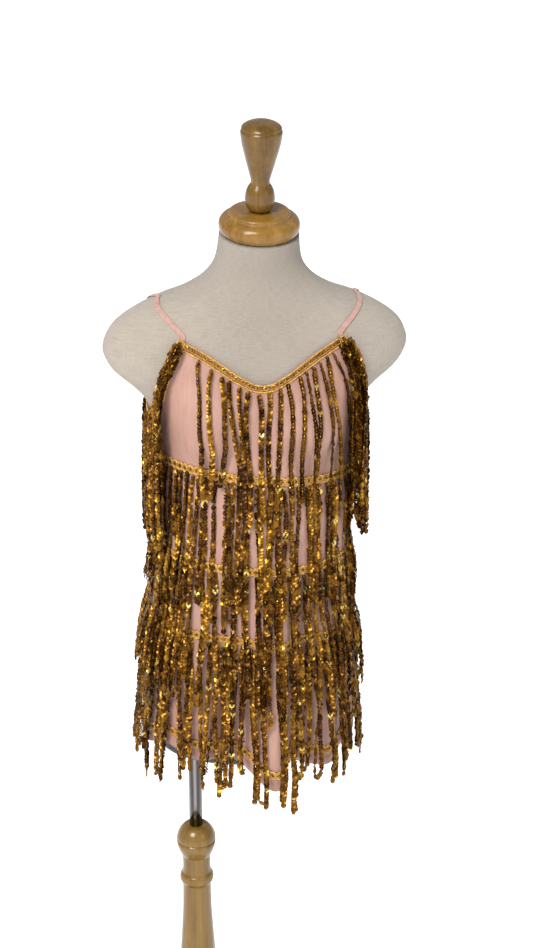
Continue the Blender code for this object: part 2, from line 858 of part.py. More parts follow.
def arm_strand(strand):
    """A lock at the armhole ends just above the waist braid, and stands out more on the
    viewer's right."""
    start = edge_height(strand.angle) - edge_drop(strand.angle)
    length = min(strand.length + max(start - ARM_LEVEL, 0.0), start - ARM_END)
    flare = ARM_FLARE_RIGHT if strand.angle > 0.0 else 0.0
    return strand._replace(length=length, flare=flare)


def build_edges(material, layers):
    """The neckline front and back, and the two armholes."""
    corner = radians(FRONT_CORNER) - CORNER_GAP
    extras = [-corner, corner] + [radians(turn) for turn in NECK_BRAID_STOPS]
    build_trim("trim_neck_front", material, spray_strands(NECK_SPRAY), extras, False,
               edge_height, edge_drop, layers, NECK_STRETCHES)
    back_corner = radians(BACK_CORNER) - CORNER_GAP
    extras = [pi - back_corner, pi + back_corner]
    build_trim("trim_neck_back", material, spray_strands(BACK_SPRAY), extras, False,
               edge_height, edge_drop, layers, NECK_STRETCHES)
    for name, side in (("trim_armhole_left", -1), ("trim_armhole_right", 1)):
        strands = [arm_strand(strand) for spray in ARM_SPRAYS
                   for strand in spray_strands(spray, side)]
        ends = [radians(FRONT_CORNER) + CORNER_GAP, pi - radians(BACK_CORNER) - CORNER_GAP]
        build_trim(name, material, strands, [side * end for end in ends], False,
                   edge_height, edge_drop, layers, NECK_STRETCHES)


def strap_spot(angle, height, lift):
    """A point off the form's surface, and the surface's own direction there."""
    spot = form_point(angle, height)
    around = form_point(angle + FINE_PROBE, height) - form_point(angle - FINE_PROBE, height)
    upward = form_point(angle, height + FINE_PROBE) - form_point(angle, height - FINE_PROBE)
    normal = around.cross(upward).normalized()
    return spot + normal * lift, normal


def build_strap(name, side, material):
    """A flat strap from the front corner over the shoulder to the back corner."""
    first = radians(FRONT_CORNER - STRAP_INSET)
    last = pi - radians(BACK_CORNER - STRAP_INSET)
    angles = [first + (last - first) * step / STRAP_STEPS for step in range(STRAP_STEPS + 1)]
    path = []
    for angle in angles:
        start = first if angle < pi / 2 else last
        corner = edge_height(start) + STRAP_CLEAR
        share = abs((angle - pi / 2) / (start - pi / 2))
        height = STRAP_TOP - (STRAP_TOP - corner) * share ** STRAP_BOW
        path.append((side * angle, height))
    bm = bmesh.new()
    rings = []
    for index, (angle, height) in enumerate(path):
        before = form_point(*path[max(index - 1, 0)])
        after = form_point(*path[min(index + 1, STRAP_STEPS)])
        spot, normal = strap_spot(angle, height, STRAP_LIFT)
        across = normal.cross(after - before).normalized() * (STRAP_WIDE / 2)
        outer = normal * STRAP_THICK
        corners = (spot - across, spot + across, spot + across + outer, spot - across + outer)
        rings.append([bm.verts.new(corner) for corner in corners])
    for lower, upper in zip(rings, rings[1:]):
        bridge_rings(bm, lower, upper)
    bm.faces.new(rings[0])
    bm.faces.new(rings[-1])
    return add_object(name, bm, material)


def build_stand(wood, steel):
    neck = place(0.0, NECK_TOP, 0.0, FORM_SECTIONS[-1].forward)
    side = Vector((cos(FORM_TURN), sin(FORM_TURN), 0.0))
    front = Vector((sin(FORM_TURN), -cos(FORM_TURN), 0.0))
    up = (Vector((0.0, 0.0, 1.0)) + front * NECK_SLOPE).normalized()
    turn = Matrix((side, up.cross(side), up)).transposed().to_4x4()
    cap_seat = Matrix.Translation(neck + up * GAP) @ turn
    turned_solid("neck_cap", CAP_PROFILE, CAP_SIDES, wood, cap_seat)
    finial_seat = Matrix.Translation(neck + up * (CAP_PROFILE[-1].height + 2 * GAP)) @ turn
    turned_solid("finial", FINIAL_PROFILE, POST_SIDES, wood, finial_seat)
    turned_solid("stand_post", POST_PROFILE, POST_SIDES, wood, Matrix.Identity(4))
    turned_solid("stand_base", BASE_PROFILE, BASE_SIDES, wood, Matrix.Identity(4))
    pole = [Turn(POST_TOP + GAP, POLE_RADIUS), Turn(FORM_BOTTOM - GAP, POLE_RADIUS)]
    turned_solid("pole", pole, POLE_SIDES, steel, Matrix.Identity(4))


def main():
    for piece in list(bpy.data.objects):
        bpy.data.objects.remove(piece, do_unlink=True)
    linen = make_material("linen_cover", (0.66, 0.63, 0.58), 0.9)
    satin = make_material("pink_satin_knit", (0.80, 0.50, 0.44), 0.5)
    gold = make_material("gold_sequin_fringe", (0.52, 0.36, 0.06), 0.35, 0.6)
    braid = make_material("gold_braid", (0.72, 0.46, 0.14), 0.45, 0.4)
    wood = make_material("varnished_wood", (0.72, 0.42, 0.16), 0.3)
    steel = make_material("chromed_steel", (0.75, 0.76, 0.78), 0.15, 1.0)
    build_form(linen)
    build_stand(wood, steel)
    build_panel("dress_front", FRONT, satin)
    build_panel("dress_back", BACK, satin)
    build_strap("strap_left", -1, satin)
    build_strap("strap_right", 1, satin)
    layers = Layers()
    build_hem(braid, layers)
    build_rings(gold, layers)
    build_edges(gold, layers)


main()
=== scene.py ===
# The looks of a flapper dress on a dress form: pink knit, sequin fringe, braids,
# linen form and turned wood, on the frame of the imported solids.
# Metres, +Z up. Angles round the form are seen from above: 0 is the front, 90 the
# viewer's right.

from collections import namedtuple
from math import cos, pi, radians, sin, tan

import bpy
import numpy as np
from mathutils import Matrix, Vector


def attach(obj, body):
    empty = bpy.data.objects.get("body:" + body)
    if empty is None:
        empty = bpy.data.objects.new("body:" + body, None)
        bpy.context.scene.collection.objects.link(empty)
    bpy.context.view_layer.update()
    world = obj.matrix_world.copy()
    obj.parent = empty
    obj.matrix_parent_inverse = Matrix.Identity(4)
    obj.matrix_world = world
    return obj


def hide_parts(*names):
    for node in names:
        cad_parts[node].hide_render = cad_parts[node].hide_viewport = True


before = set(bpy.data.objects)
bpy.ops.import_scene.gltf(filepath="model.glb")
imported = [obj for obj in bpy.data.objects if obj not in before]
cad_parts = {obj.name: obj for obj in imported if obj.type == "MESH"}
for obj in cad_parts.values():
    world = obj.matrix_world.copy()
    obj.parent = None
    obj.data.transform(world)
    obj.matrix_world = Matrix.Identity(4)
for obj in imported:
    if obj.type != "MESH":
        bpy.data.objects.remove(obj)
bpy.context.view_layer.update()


def table(kind, rows):
    return [kind(*row) for row in rows]


# The form and the dress: the same sizes as the solids

FORM_BOTTOM = 0.550
FORM_SHIFT_X = 0.0745
FORM_LEAN = 0.025
FORM_TURN = radians(7.0)
NECK_TOP = 1.2727
NECK_SLOPE_START = 1.215
NECK_SLOPE = tan(radians(11.7))

Section = namedtuple("Section", "height half_width front back forward", defaults=[0.0])
FORM_SECTIONS = table(Section, [
    (0.55, 0.126, 0.093, 0.092), (0.6, 0.134, 0.099, 0.106), (0.67, 0.139, 0.103, 0.116),
    (0.74, 0.134, 0.101, 0.11), (0.8, 0.124, 0.097, 0.096), (0.86, 0.117, 0.093, 0.084),
    (0.92, 0.12, 0.095, 0.084), (0.98, 0.127, 0.0985, 0.09), (1.03, 0.134, 0.1005, 0.096),
    (1.06, 0.146, 0.098, 0.099), (1.078, 0.163, 0.095, 0.1), (1.095, 0.1835, 0.091, 0.1005),
    (1.111, 0.195, 0.087, 0.1005), (1.127, 0.1995, 0.083, 0.1), (1.144, 0.195, 0.0785, 0.0975),
    (1.16, 0.184, 0.0735, 0.0935), (1.175, 0.1635, 0.068, 0.0885, 0.001),
    (1.191, 0.1315, 0.062, 0.081, 0.002), (1.199, 0.107, 0.059, 0.077, 0.003),
    (1.207, 0.0895, 0.0565, 0.072, 0.003), (1.215, 0.0765, 0.0545, 0.0675, 0.004),
    (1.223, 0.067, 0.053, 0.0635, 0.004), (1.235, 0.058, 0.052, 0.0585, 0.005),
    (1.25, 0.0535, 0.051, 0.0545, 0.006), (NECK_TOP, 0.051, 0.05, 0.0515, 0.008),
])
BUST_ANGLE = radians(36.0)
BUST_SPREAD = radians(21.0)
BUST_HEIGHT = 1.028
BUST_TALL = 0.048
BUST_DEPTH = 0.020

CLOTH_EASE = 0.0022
CLOTH_BLEND = 0.004
DRESS_SECTIONS = table(Section, [
    (0.545, 0.146, 0.114, 0.123), (0.6, 0.1455, 0.116, 0.122), (0.65, 0.144, 0.12, 0.121),
    (0.72, 0.1405, 0.126, 0.1165), (0.78, 0.1355, 0.129, 0.108), (0.85, 0.131, 0.129, 0.099),
    (0.92, 0.13, 0.125, 0.095), (0.98, 0.129, 0.118, 0.093), (1.03, 0.124, 0.106, 0.09),
    (1.09, 0.11, 0.07, 0.07), (1.2, 0.08, 0.04, 0.04),
])
Fold = namedtuple("Fold", "angle spread reach start drop", defaults=[0.0])
FOLDS = table(Fold, [
    (8, 10, 0.048, 0.92, 0.012), (-21, 12, -0.014, 0.86, -0.01), (27, 7, -0.013, 0.8),
    (43, 12, 0.02, 0.86, 0.006), (-58, 16, 0.004, 0.8, -0.022), (84, 12, 0.004, 0.76),
    (122, 14, 0.016, 0.84, 0.004), (150, 12, -0.008, 0.82), (176, 15, 0.024, 0.88, 0.008),
    (206, 12, -0.008, 0.82), (233, 15, 0.018, 0.85, 0.004),
])
HEM = 0.562
Edge = namedtuple("Edge", "angle height")
FRONT_CORNER = 57.857
FRONT_EDGE = table(Edge, [
    (0, 1.0965), (7, 1.0985), (20, 1.11), (40, 1.133), (FRONT_CORNER, 1.153), (59.6, 1.124),
    (61.7, 1.096), (64.3, 1.079), (70.7, 1.064), (77.1, 1.054), (83.6, 1.045), (90, 1.037),
])
BACK_CORNER = 54.0
BACK_EDGE = table(Edge, [
    (0, 1.1), (18, 1.105), (36, 1.12), (BACK_CORNER, 1.142), (56.5, 1.118), (59.5, 1.097),
    (63, 1.082), (72, 1.061), (81, 1.048), (90, 1.037),
])


def read(rows, column, at):
    """Smooth curve through one column of a table, read at an array of places."""
    xs = np.array([row[0] for row in rows])
    ys = np.array([row[column] for row in rows])
    low = np.maximum(np.arange(len(xs)) - 1, 0)
    high = np.minimum(np.arange(len(xs)) + 1, len(xs) - 1)
    slopes = (ys[high] - ys[low]) / (xs[high] - xs[low])
    at = np.clip(at, xs[0], xs[-1])
    i = np.clip(np.searchsorted(xs, at, side="right") - 1, 0, len(xs) - 2)
    step = xs[i + 1] - xs[i]
    t = (at - xs[i]) / step
    curve = (2 * t**3 - 3 * t**2 + 1) * ys[i] + (t**3 - 2 * t**2 + t) * slopes[i] * step
    return curve + (3 * t**2 - 2 * t**3) * ys[i + 1] + (t**3 - t**2) * slopes[i + 1] * step


def smooth(t):
    t = np.clip(t, 0.0, 1.0)
    return t * t * (3 - 2 * t)


def wrap(angle):
    """An angle brought between -pi and pi."""
    return (angle + pi) % (2 * pi) - pi


def section_radius(sections, angle, height):
    half_width = read(sections, 1, height)
    depth = np.where(np.cos(angle) > 0, read(sections, 2, height), read(sections, 3, height))
    return 1.0 / np.hypot(np.sin(angle) / half_width, np.cos(angle) / depth)


def form_radius(angle, height):
    around = (np.abs(wrap(angle)) - BUST_ANGLE) / BUST_SPREAD
    along = (height - BUST_HEIGHT) / BUST_TALL
    bust = BUST_DEPTH * np.exp(-around * around - along * along)
    return section_radius(FORM_SECTIONS, angle, height) + bust


def fold_shape(angle, fold):
    across = wrap(angle - radians(fold.angle)) / radians(fold.spread)
    return np.exp(-across * across)


def fold_reach(angle, height):
    total = 0.0
    for fold in FOLDS:
        growth = smooth((fold.start - height) / (fold.start - HEM))
        total = total + fold.reach * growth * fold_shape(angle, fold)
    return total


def hem_height(angle):
    return HEM - sum(fold.drop * fold_shape(angle, fold) for fold in FOLDS)


def edge_height(angle):
    """Upper edge of the dress at an angle."""
    turn = np.abs(wrap(angle))
    front = np.interp(np.degrees(turn), *zip(*FRONT_EDGE))
    back = np.interp(180.0 - np.degrees(turn), *zip(*BACK_EDGE))
    return np.where(turn <= pi / 2, front, back)


def cloth_inside(angle, height):
    on_form = form_radius(angle, height) + CLOTH_EASE
    loose = section_radius(DRESS_SECTIONS, angle, height) + fold_reach(angle, height)
    apart = on_form - loose
    return 0.5 * (on_form + loose + np.sqrt(apart * apart + CLOTH_BLEND * CLOTH_BLEND))


def turned(side, front, start=0.0):
    """World x and y of a step to the form's side and front."""
    return (start + side * cos(FORM_TURN) + front * sin(FORM_TURN),
            side * sin(FORM_TURN) - front * cos(FORM_TURN))


def place(angle, height, radius, forward=0.0):
    """World points from the form's own angles, heights and radii."""
    axis_x = FORM_SHIFT_X + FORM_LEAN * (height - FORM_BOTTOM)
    x, y = turned(radius * np.sin(angle), radius * np.cos(angle) + forward, axis_x)
    return np.stack([x, y, height + 0.0 * x], axis=-1)


def outward(angle):
    """Level directions away from the form's axis."""
    x, y = turned(np.sin(angle), np.cos(angle))
    return np.stack([x, y, 0.0 * x], -1)


def unit(vectors):
    return vectors / np.maximum(np.linalg.norm(vectors, axis=-1, keepdims=True), 1e-12)


def reach_along(line):
    """Distance along a line of points, from its start to each point."""
    return np.concatenate([[0], np.cumsum(np.linalg.norm(np.diff(line, axis=0), axis=1))])


def read_line(at, reach, line):
    return np.stack([np.interp(at, reach, line[:, k]) for k in range(3)], 1)


def full_turn(count):
    return np.linspace(0, 2 * pi, count + 1)[:-1]


# Creases of the cloth, besides the folds: soft ridges (+) and troughs (-)
# Place of the middle, the way it runs (0 upright, 90 level, in degrees), its length,
# its width and how far it stands out, in millimetres

Crease = namedtuple("Crease", "angle height run length width depth")
CREASES = table(Crease, [
    # fine gathers under the chest braid, on the viewer's left
    (-70, 0.925, 3, 95, 5, 1.1), (-64, 0.932, -2, 80, 4, -0.9), (-58.5, 0.92, 2, 105, 4, 1.3),
    (-53, 0.935, -3, 70, 4, -1), (-48, 0.915, 1, 90, 5, 1), (-42, 0.93, 4, 60, 4, -0.8),
    (-35, 0.925, -4, 70, 6, 0.9),
    # the same on the viewer's right
    (50, 0.92, -3, 85, 6, 1), (58, 0.935, 4, 65, 5, -0.9), (66, 0.915, -2, 95, 6, 1.2),
    (76, 0.925, 3, 70, 5, -0.8),
    # pulls from the armholes towards the bust
    (-66, 1.03, 62, 40, 4, 0.8), (-60, 1.012, 74, 36, 3.5, -0.7), (67, 1.026, -60, 42, 4, 0.8),
    (61, 1.008, -72, 34, 3.5, -0.6),
    # between the bust and below it
    (-8, 1.01, 82, 55, 6, -0.8), (6, 0.99, 97, 60, 7, 0.8), (2, 0.93, 8, 90, 9, 1.2),
    (-14, 0.9, -6, 110, 8, -1.3), (20, 0.89, 5, 120, 9, 1.4),
    # the waist and hip: long soft ridges that run into the folds
    (-30, 0.815, -5, 130, 8, 1.6), (-40, 0.8, 3, 110, 7, -1.5), (-50, 0.825, -2, 120, 8, 1.5),
    (-62, 0.79, 4, 140, 8, -1.6), (-73, 0.81, -3, 120, 8, 1.4), (35, 0.8, 6, 120, 8, -1.6),
    (56, 0.79, -4, 140, 9, 1.6), (68, 0.805, 2, 110, 7, -1.4), (79, 0.78, -3, 130, 8, 1.4),
    # slanting pulls above the hem braid on the viewer's left
    (-47, 0.66, 58, 52, 5, 1.5), (-41, 0.646, 66, 46, 4, -1.4), (-36, 0.636, 60, 50, 5, 1.4),
    (-60, 0.67, 12, 70, 6, 1.3), (-68, 0.655, 6, 80, 6, -1.2), (-26, 0.69, 20, 90, 8, 1.8),
    (-4, 0.68, -8, 110, 8, -2), (18, 0.67, 10, 100, 8, 1.8), (33, 0.65, -12, 80, 7, -1.6),
    (52, 0.665, 9, 90, 7, 1.5), (64, 0.64, -14, 70, 6, -1.3),
    # the sides
    (-88, 0.93, 2, 120, 7, 1.2), (-98, 0.87, -3, 130, 7, -1.3), (-107, 0.8, 4, 140, 8, 1.4),
    (-93, 0.7, -6, 110, 8, 1.5), (92, 0.92, -2, 110, 7, 1.2), (101, 0.85, 3, 140, 8, -1.4),
    (96, 0.69, 5, 120, 8, 1.6),
    # the back
    (112, 0.93, -4, 90, 6, 1.1), (127, 0.915, 3, 100, 6, -1.1), (140, 0.935, -2, 80, 5, 1.1),
    (156, 0.905, 5, 120, 8, 1.3), (168, 0.87, -4, 130, 8, -1.3), (186, 0.895, 3, 120, 8, 1.4),
    (199, 0.92, -3, 90, 6, -1.1), (214, 0.91, 4, 100, 6, 1.2), (228, 0.93, -3, 80, 5, -1),
    (243, 0.905, 2, 110, 6, 1.2), (135, 0.78, -4, 140, 8, -1.6), (160, 0.76, 3, 150, 9, 1.7),
    (190, 0.74, -4, 130, 8, -1.6), (220, 0.77, 4, 140, 9, 1.6), (246, 0.76, -2, 120, 8, -1.4),
    (144, 0.65, 55, 56, 6, 1.5), (168, 0.64, -60, 60, 6, -1.4), (196, 0.655, 62, 54, 6, 1.4),
    (215, 0.64, -52, 58, 6, -1.4), (150, 1.02, 80, 60, 7, 0.9), (180, 0.985, 92, 80, 8, -0.8),
    (208, 1.018, 98, 60, 7, 0.9),
])
CREASE_ROUND = 0.135
MM = 0.001
EDGE_FADE = 0.012
RIPPLE = 0.00035


def crease_lift(angle, height):
    """How far the creases move the cloth out, fading away at the upper edge."""
    total = 0.0
    for crease in CREASES:
        along_side = wrap(angle - radians(crease.angle)) * CREASE_ROUND
        along_up = height - crease.height
        run = radians(crease.run)
        along = (along_up * cos(run) + along_side * sin(run)) / (crease.length * MM / 2)
        across = (along_side * cos(run) - along_up * sin(run)) / (crease.width * MM)
        fade = smooth(1.35 - np.abs(along))
        total = total + crease.depth * MM * fade * np.exp(-across * across)
    ripple = np.sin(angle * 47 + 3 * np.sin(height * 31))
    ripple = ripple * np.sin(height * 23 + 5 * np.sin(angle * 3))
    edge = smooth((edge_height(angle) - height) / EDGE_FADE)
    return (total + RIPPLE * ripple) * edge


SHELL_IN = 0.0003
SHELL = 0.0008
FORM_CLEAR = 0.0012


def cloth_face(angle, height):
    """Outer face of the visible cloth."""
    lifted = cloth_inside(angle, height) + SHELL_IN + crease_lift(angle, height)
    return np.maximum(lifted, form_radius(angle, height) + FORM_CLEAR) + SHELL


def cloth_at(angle, height):
    """The same for one place."""
    return float(cloth_face(np.array([angle]), np.array([height]))[0])


# Making pieces

def new_piece(name, node, points, faces, material, uv, tones=None):
    """A mesh piece with its place in the frame, and a tone for each point if given."""
    mesh = bpy.data.meshes.new(name)
    mesh.from_pydata(np.asarray(points, float).tolist(), [], [list(face) for face in faces])
    layer = mesh.uv_layers.new(name="UVMap")
    corners = np.zeros(len(mesh.loops), np.int32)
    mesh.loops.foreach_get("vertex_index", corners)
    layer.data.foreach_set("uv", np.asarray(uv, np.float32)[corners].ravel())
    if tones is not None:
        layer = mesh.attributes.new("tone", "FLOAT", "POINT")
        layer.data.foreach_set("value", np.asarray(tones, np.float32))
    mesh.polygons.foreach_set("use_smooth", np.full(len(mesh.polygons), True))
    mesh.materials.append(material)
    piece = bpy.data.objects.new(name, mesh)
    bpy.context.scene.collection.objects.link(piece)
    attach(piece, "root")
    if node:
        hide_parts(node)
    return piece


def ring_quads(stops, count, closed=False):
    """Faces between rings of points that follow each other."""
    index = np.arange(stops * count).reshape(stops, count)
    after = np.roll(index, -1, axis=1)
    if closed:
        quads = [index, after, np.roll(after, -1, 0), np.roll(index, -1, 0)]
    else:
        quads = [index[:-1], after[:-1], after[1:], index[1:]]
    return np.stack(quads, -1).reshape(-1, 4)


def capped_rings(stops, count):
    """The same, with a face over each end."""
    ends = [list(range(count))[::-1], list(range((stops - 1) * count, stops * count))]
    return ring_quads(stops, count).tolist() + ends


def repeated(faces, times, stride):
    """The same faces for each of many like shapes."""
    steps = (np.arange(times) * stride)[:, None, None]
    return (np.array(faces)[None] + steps).reshape(-1, len(faces[0]))


# The two panels

PANEL_COLUMNS = 150
PANEL_ROWS = 128
SEAM_GAP = 0.0012
EDGE_CLEAR = 0.0006
HEM_FOLD = 0.013
HEM_THICK = 0.0007
HEM_STEP = 0.0015


def build_panel(name, node, middle, corner, material):
    """A cloth panel: outer and inner faces, joined round its edges, with a turned hem."""
    side = pi / 2 - SEAM_GAP
    turns = middle + np.linspace(-side, side, PANEL_COLUMNS + 1)
    for end in (middle - radians(corner), middle + radians(corner)):
        turns[np.argmin(np.abs(turns - end))] = end
    top, bottom = edge_height(turns) - EDGE_CLEAR, hem_height(turns)
    share = np.linspace(0.0, 1.0, PANEL_ROWS + 1)
    angle = np.repeat(turns[:, None], PANEL_ROWS + 1, axis=1)
    height = top[:, None] + (bottom - top)[:, None] * share[None, :]
    above_hem = height - bottom[:, None]
    outer = cloth_face(angle, height) + HEM_THICK * smooth((HEM_FOLD - above_hem) / HEM_STEP)
    sheets = [place(angle, height, radius).reshape(-1, 3) for radius in (outer, outer - SHELL)]
    count = angle.size
    index = np.arange(count).reshape(angle.shape)
    quads = [np.stack([index[:-1, :-1], index[:-1, 1:], index[1:, 1:], index[1:, :-1]], -1)]
    quads = [quads[0].reshape(-1, 4)]
    quads.append(quads[0][:, ::-1] + count)
    for line in (index[0], index[-1, ::-1], index[::-1, 0], index[:, -1]):
        quads.append(np.stack([line[:-1], line[:-1] + count, line[1:] + count, line[1:]], -1))
    uv = np.stack([angle * CREASE_ROUND, height], -1).reshape(-1, 2)
    piece = new_piece(name, node, np.concatenate(sheets),
                      np.concatenate(quads), material, np.concatenate([uv, uv]))


# The linen form and the straps

FORM_ROUND = 0.007
FORM_ROWS = 190
FORM_SIDES = 160
STRAP_TOP = 1.1925
STRAP_INSET = 0.7
STRAP_CLEAR = 0.0021
STRAP_BOW = 1.7
STRAP_WIDE = 0.0065
STRAP_RIBS = 5
STRAP_STOPS = 180
STRAP_TUCK = 0.008
STRAP_DROP = 0.009
STRAP_SEAT = 0.0009
STRAP_SEAT_PAST = 0.0004
STRAP_BODY, STRAP_RIB, STRAP_EDGE = 0.0007, 0.0005, 0.0003


def form_points(angle, height, inset=0.0):
    """Points on the form's skin, with the sloping neck."""
    radius = form_radius(angle, height) - inset
    spot = place(angle, height, radius, read(FORM_SECTIONS, 4, height))
    share = smooth((height - NECK_SLOPE_START) / (NECK_TOP - NECK_SLOPE_START))
    spot[..., 2] -= share * NECK_SLOPE * radius * np.cos(angle)
    return spot


def build_form(material):
    low = FORM_BOTTOM + FORM_ROUND
    rounding = 1 - np.cos(np.linspace(0, pi / 2, 5)[:-1])
    heights = np.concatenate([FORM_BOTTOM + FORM_ROUND * rounding,
                              np.linspace(low, NECK_TOP, FORM_ROWS)])
    turn = np.arccos(np.clip((low - heights) / FORM_ROUND, 0, 1))
    inset = np.where(heights < low, FORM_ROUND * (1 - np.sin(turn)), 0.0)
    angle, height = np.meshgrid(np.linspace(-pi, pi, FORM_SIDES + 1)[:-1], heights)
    uv = np.stack([angle * CREASE_ROUND, height], -1).reshape(-1, 2)
    new_piece("Form_Linen", "form_torso",
              form_points(angle, height, inset[:, None]).reshape(-1, 3),
              capped_rings(*angle.shape), material, uv)


def build_strap(name, node, side, material):
    """A ribbed strap from the front corner over the shoulder to the back corner."""
    first = radians(FRONT_CORNER - STRAP_INSET)
    last = pi - radians(BACK_CORNER - STRAP_INSET)
    angle = np.linspace(first - STRAP_TUCK, last + STRAP_TUCK, STRAP_STOPS)
    start = np.where(angle < pi / 2, first, last)
    corner = edge_height(start) + STRAP_CLEAR
    share = np.abs((angle - pi / 2) / (start - pi / 2))
    height = STRAP_TOP - (STRAP_TOP - corner) * np.minimum(share, 1.0)**STRAP_BOW
    past = np.maximum(share - 1.0, 0.0) * np.abs(start - pi / 2) / STRAP_TUCK
    angle = side * np.clip(angle, first, last)
    height = height - past * STRAP_DROP
    middle = form_points(angle, height)
    along = unit(np.gradient(middle, axis=0))
    step = 0.002
    around = form_points(angle + step, height) - form_points(angle - step, height)
    upward = form_points(angle, height + step) - form_points(angle, height - step)
    normal = unit(np.cross(around, upward))
    across = unit(np.cross(normal, along))
    middle = middle + normal * (STRAP_SEAT + STRAP_SEAT_PAST * past[:, None])
    reach = reach_along(middle)
    profile = []
    steps = 4 * STRAP_RIBS
    for i in range(steps + 1):
        u = 2 * i / steps - 1
        rib = 0.5 - 0.5 * cos(2 * pi * STRAP_RIBS * i / steps)
        profile.append((u * STRAP_WIDE / 2, STRAP_BODY + STRAP_RIB * rib - STRAP_EDGE * u**4))
    profile += [(STRAP_WIDE / 2, 0.0), (-STRAP_WIDE / 2, 0.0)]
    points = np.stack([middle + across * u + normal * v for u, v in profile], 1)
    stops, count = points.shape[:2]
    wide = np.tile([u for u, _ in profile], (stops, 1))
    uv = np.stack([np.repeat(reach[:, None], count, 1), wide], -1).reshape(-1, 2)
    piece = new_piece(name, node, points.reshape(-1, 3),
                      capped_rings(stops, count), material, uv)


# Turned wood and the pole

Turn = namedtuple("Turn", "height radius")
POLE_RADIUS = 0.0095
POLE_HOLLOW = 0.004
POLE_ROUND = 0.0004
POST_TOP = 0.4000
GAP = 0.0003
SHARP = radians(50)
POST_PROFILE = table(Turn, [
    (0.4, 0.012), (0.4, 0.016), (0.399, 0.018), (0.396, 0.0213), (0.3915, 0.0246),
    (0.386, 0.0271), (0.3815, 0.0282), (0.378, 0.0284), (0.3768, 0.0276), (0.3758, 0.0268),
    (0.3748, 0.0276), (0.3735, 0.0284), (0.368, 0.0276), (0.362, 0.0258), (0.3565, 0.0235),
    (0.352, 0.0217), (0.3505, 0.0205), (0.349, 0.0204), (0.344, 0.0203), (0.334, 0.02),
    (0.324, 0.0204), (0.3215, 0.021), (0.32, 0.0228), (0.317, 0.0242), (0.313, 0.0248),
    (0.309, 0.0243), (0.306, 0.023), (0.3045, 0.0211), (0.302, 0.0207), (0.28, 0.0208),
    (0.26, 0.0212), (0.23, 0.0229), (0.2, 0.0248), (0.17, 0.0268), (0.14, 0.0284),
    (0.12, 0.0282), (0.1, 0.0266), (0.085, 0.0236), (0.075, 0.0216), (0.073, 0.0212),
    (0.0715, 0.0226), (0.068, 0.0236), (0.0645, 0.0228), (0.062, 0.0224), (0.057, 0.0275),
    (0.052, 0.0328), (0.046, 0.0368), (0.042, 0.0394), (0.04, 0.04), (0.04, 0.02),
])
BASE_PROFILE = table(Turn, [
    (0, 0.1), (0, 0.174), (0.0012, 0.1762), (0.004, 0.1788), (0.008, 0.1799), (0.012, 0.18),
    (0.0165, 0.1793), (0.02, 0.1772), (0.0212, 0.174), (0.0222, 0.1728), (0.0238, 0.1712),
    (0.025, 0.1688), (0.0266, 0.164), (0.028, 0.156), (0.0298, 0.14), (0.0318, 0.12),
    (0.034, 0.1), (0.0368, 0.075), (0.0388, 0.06), (0.0397, 0.052), (0.0397, 0.03),
])
FINIAL_PROFILE = table(Turn, [
    (0, 0.006), (0, 0.011), (0.0012, 0.013), (0.0035, 0.0153), (0.0065, 0.0172),
    (0.0105, 0.0186), (0.015, 0.0191), (0.0185, 0.0191), (0.023, 0.0185), (0.0275, 0.0174),
    (0.0315, 0.0157), (0.0345, 0.0139), (0.0362, 0.0126), (0.0378, 0.0121), (0.04, 0.0121),
    (0.043, 0.0125), (0.052, 0.015), (0.061, 0.0175), (0.071, 0.0202), (0.08, 0.0226),
    (0.089, 0.0247), (0.097, 0.0259), (0.1015, 0.0264), (0.1042, 0.0262), (0.1056, 0.0252),
    (0.1064, 0.0244), (0.1074, 0.0246), (0.1086, 0.0252), (0.1103, 0.0241), (0.1128, 0.0207),
    (0.1148, 0.0162), (0.116, 0.0112), (0.1165, 0.006),
])
CAP_PROFILE = table(Turn, [
    (0, 0.02), (0, 0.044), (0.001, 0.0464), (0.003, 0.049), (0.0058, 0.0508), (0.009, 0.0518),
    (0.0125, 0.052), (0.016, 0.0514), (0.019, 0.0498), (0.0214, 0.0474), (0.023, 0.0445),
    (0.0238, 0.0412), (0.0241, 0.0398), (0.0248, 0.0392), (0.0262, 0.0394), (0.028, 0.0391),
    (0.0291, 0.038), (0.0295, 0.0362), (0.0295, 0.015),
])


def build_turned(name, node, profile, sides, material, matrix):
    turns = full_turn(sides)
    rings = [np.stack([row.radius * np.cos(turns), row.radius * np.sin(turns),
                       np.full(sides, row.height)], -1) for row in profile]
    flat = np.concatenate(rings)
    turn = np.array(matrix)
    wide = np.tile(np.arange(sides) / sides, len(profile))
    piece = new_piece(name, node, flat @ turn[:3, :3].T + turn[:3, 3],
                      capped_rings(len(profile), sides), material,
                      np.stack([wide, flat[:, 2]], -1))
    piece.data.set_sharp_from_angle(angle=SHARP)


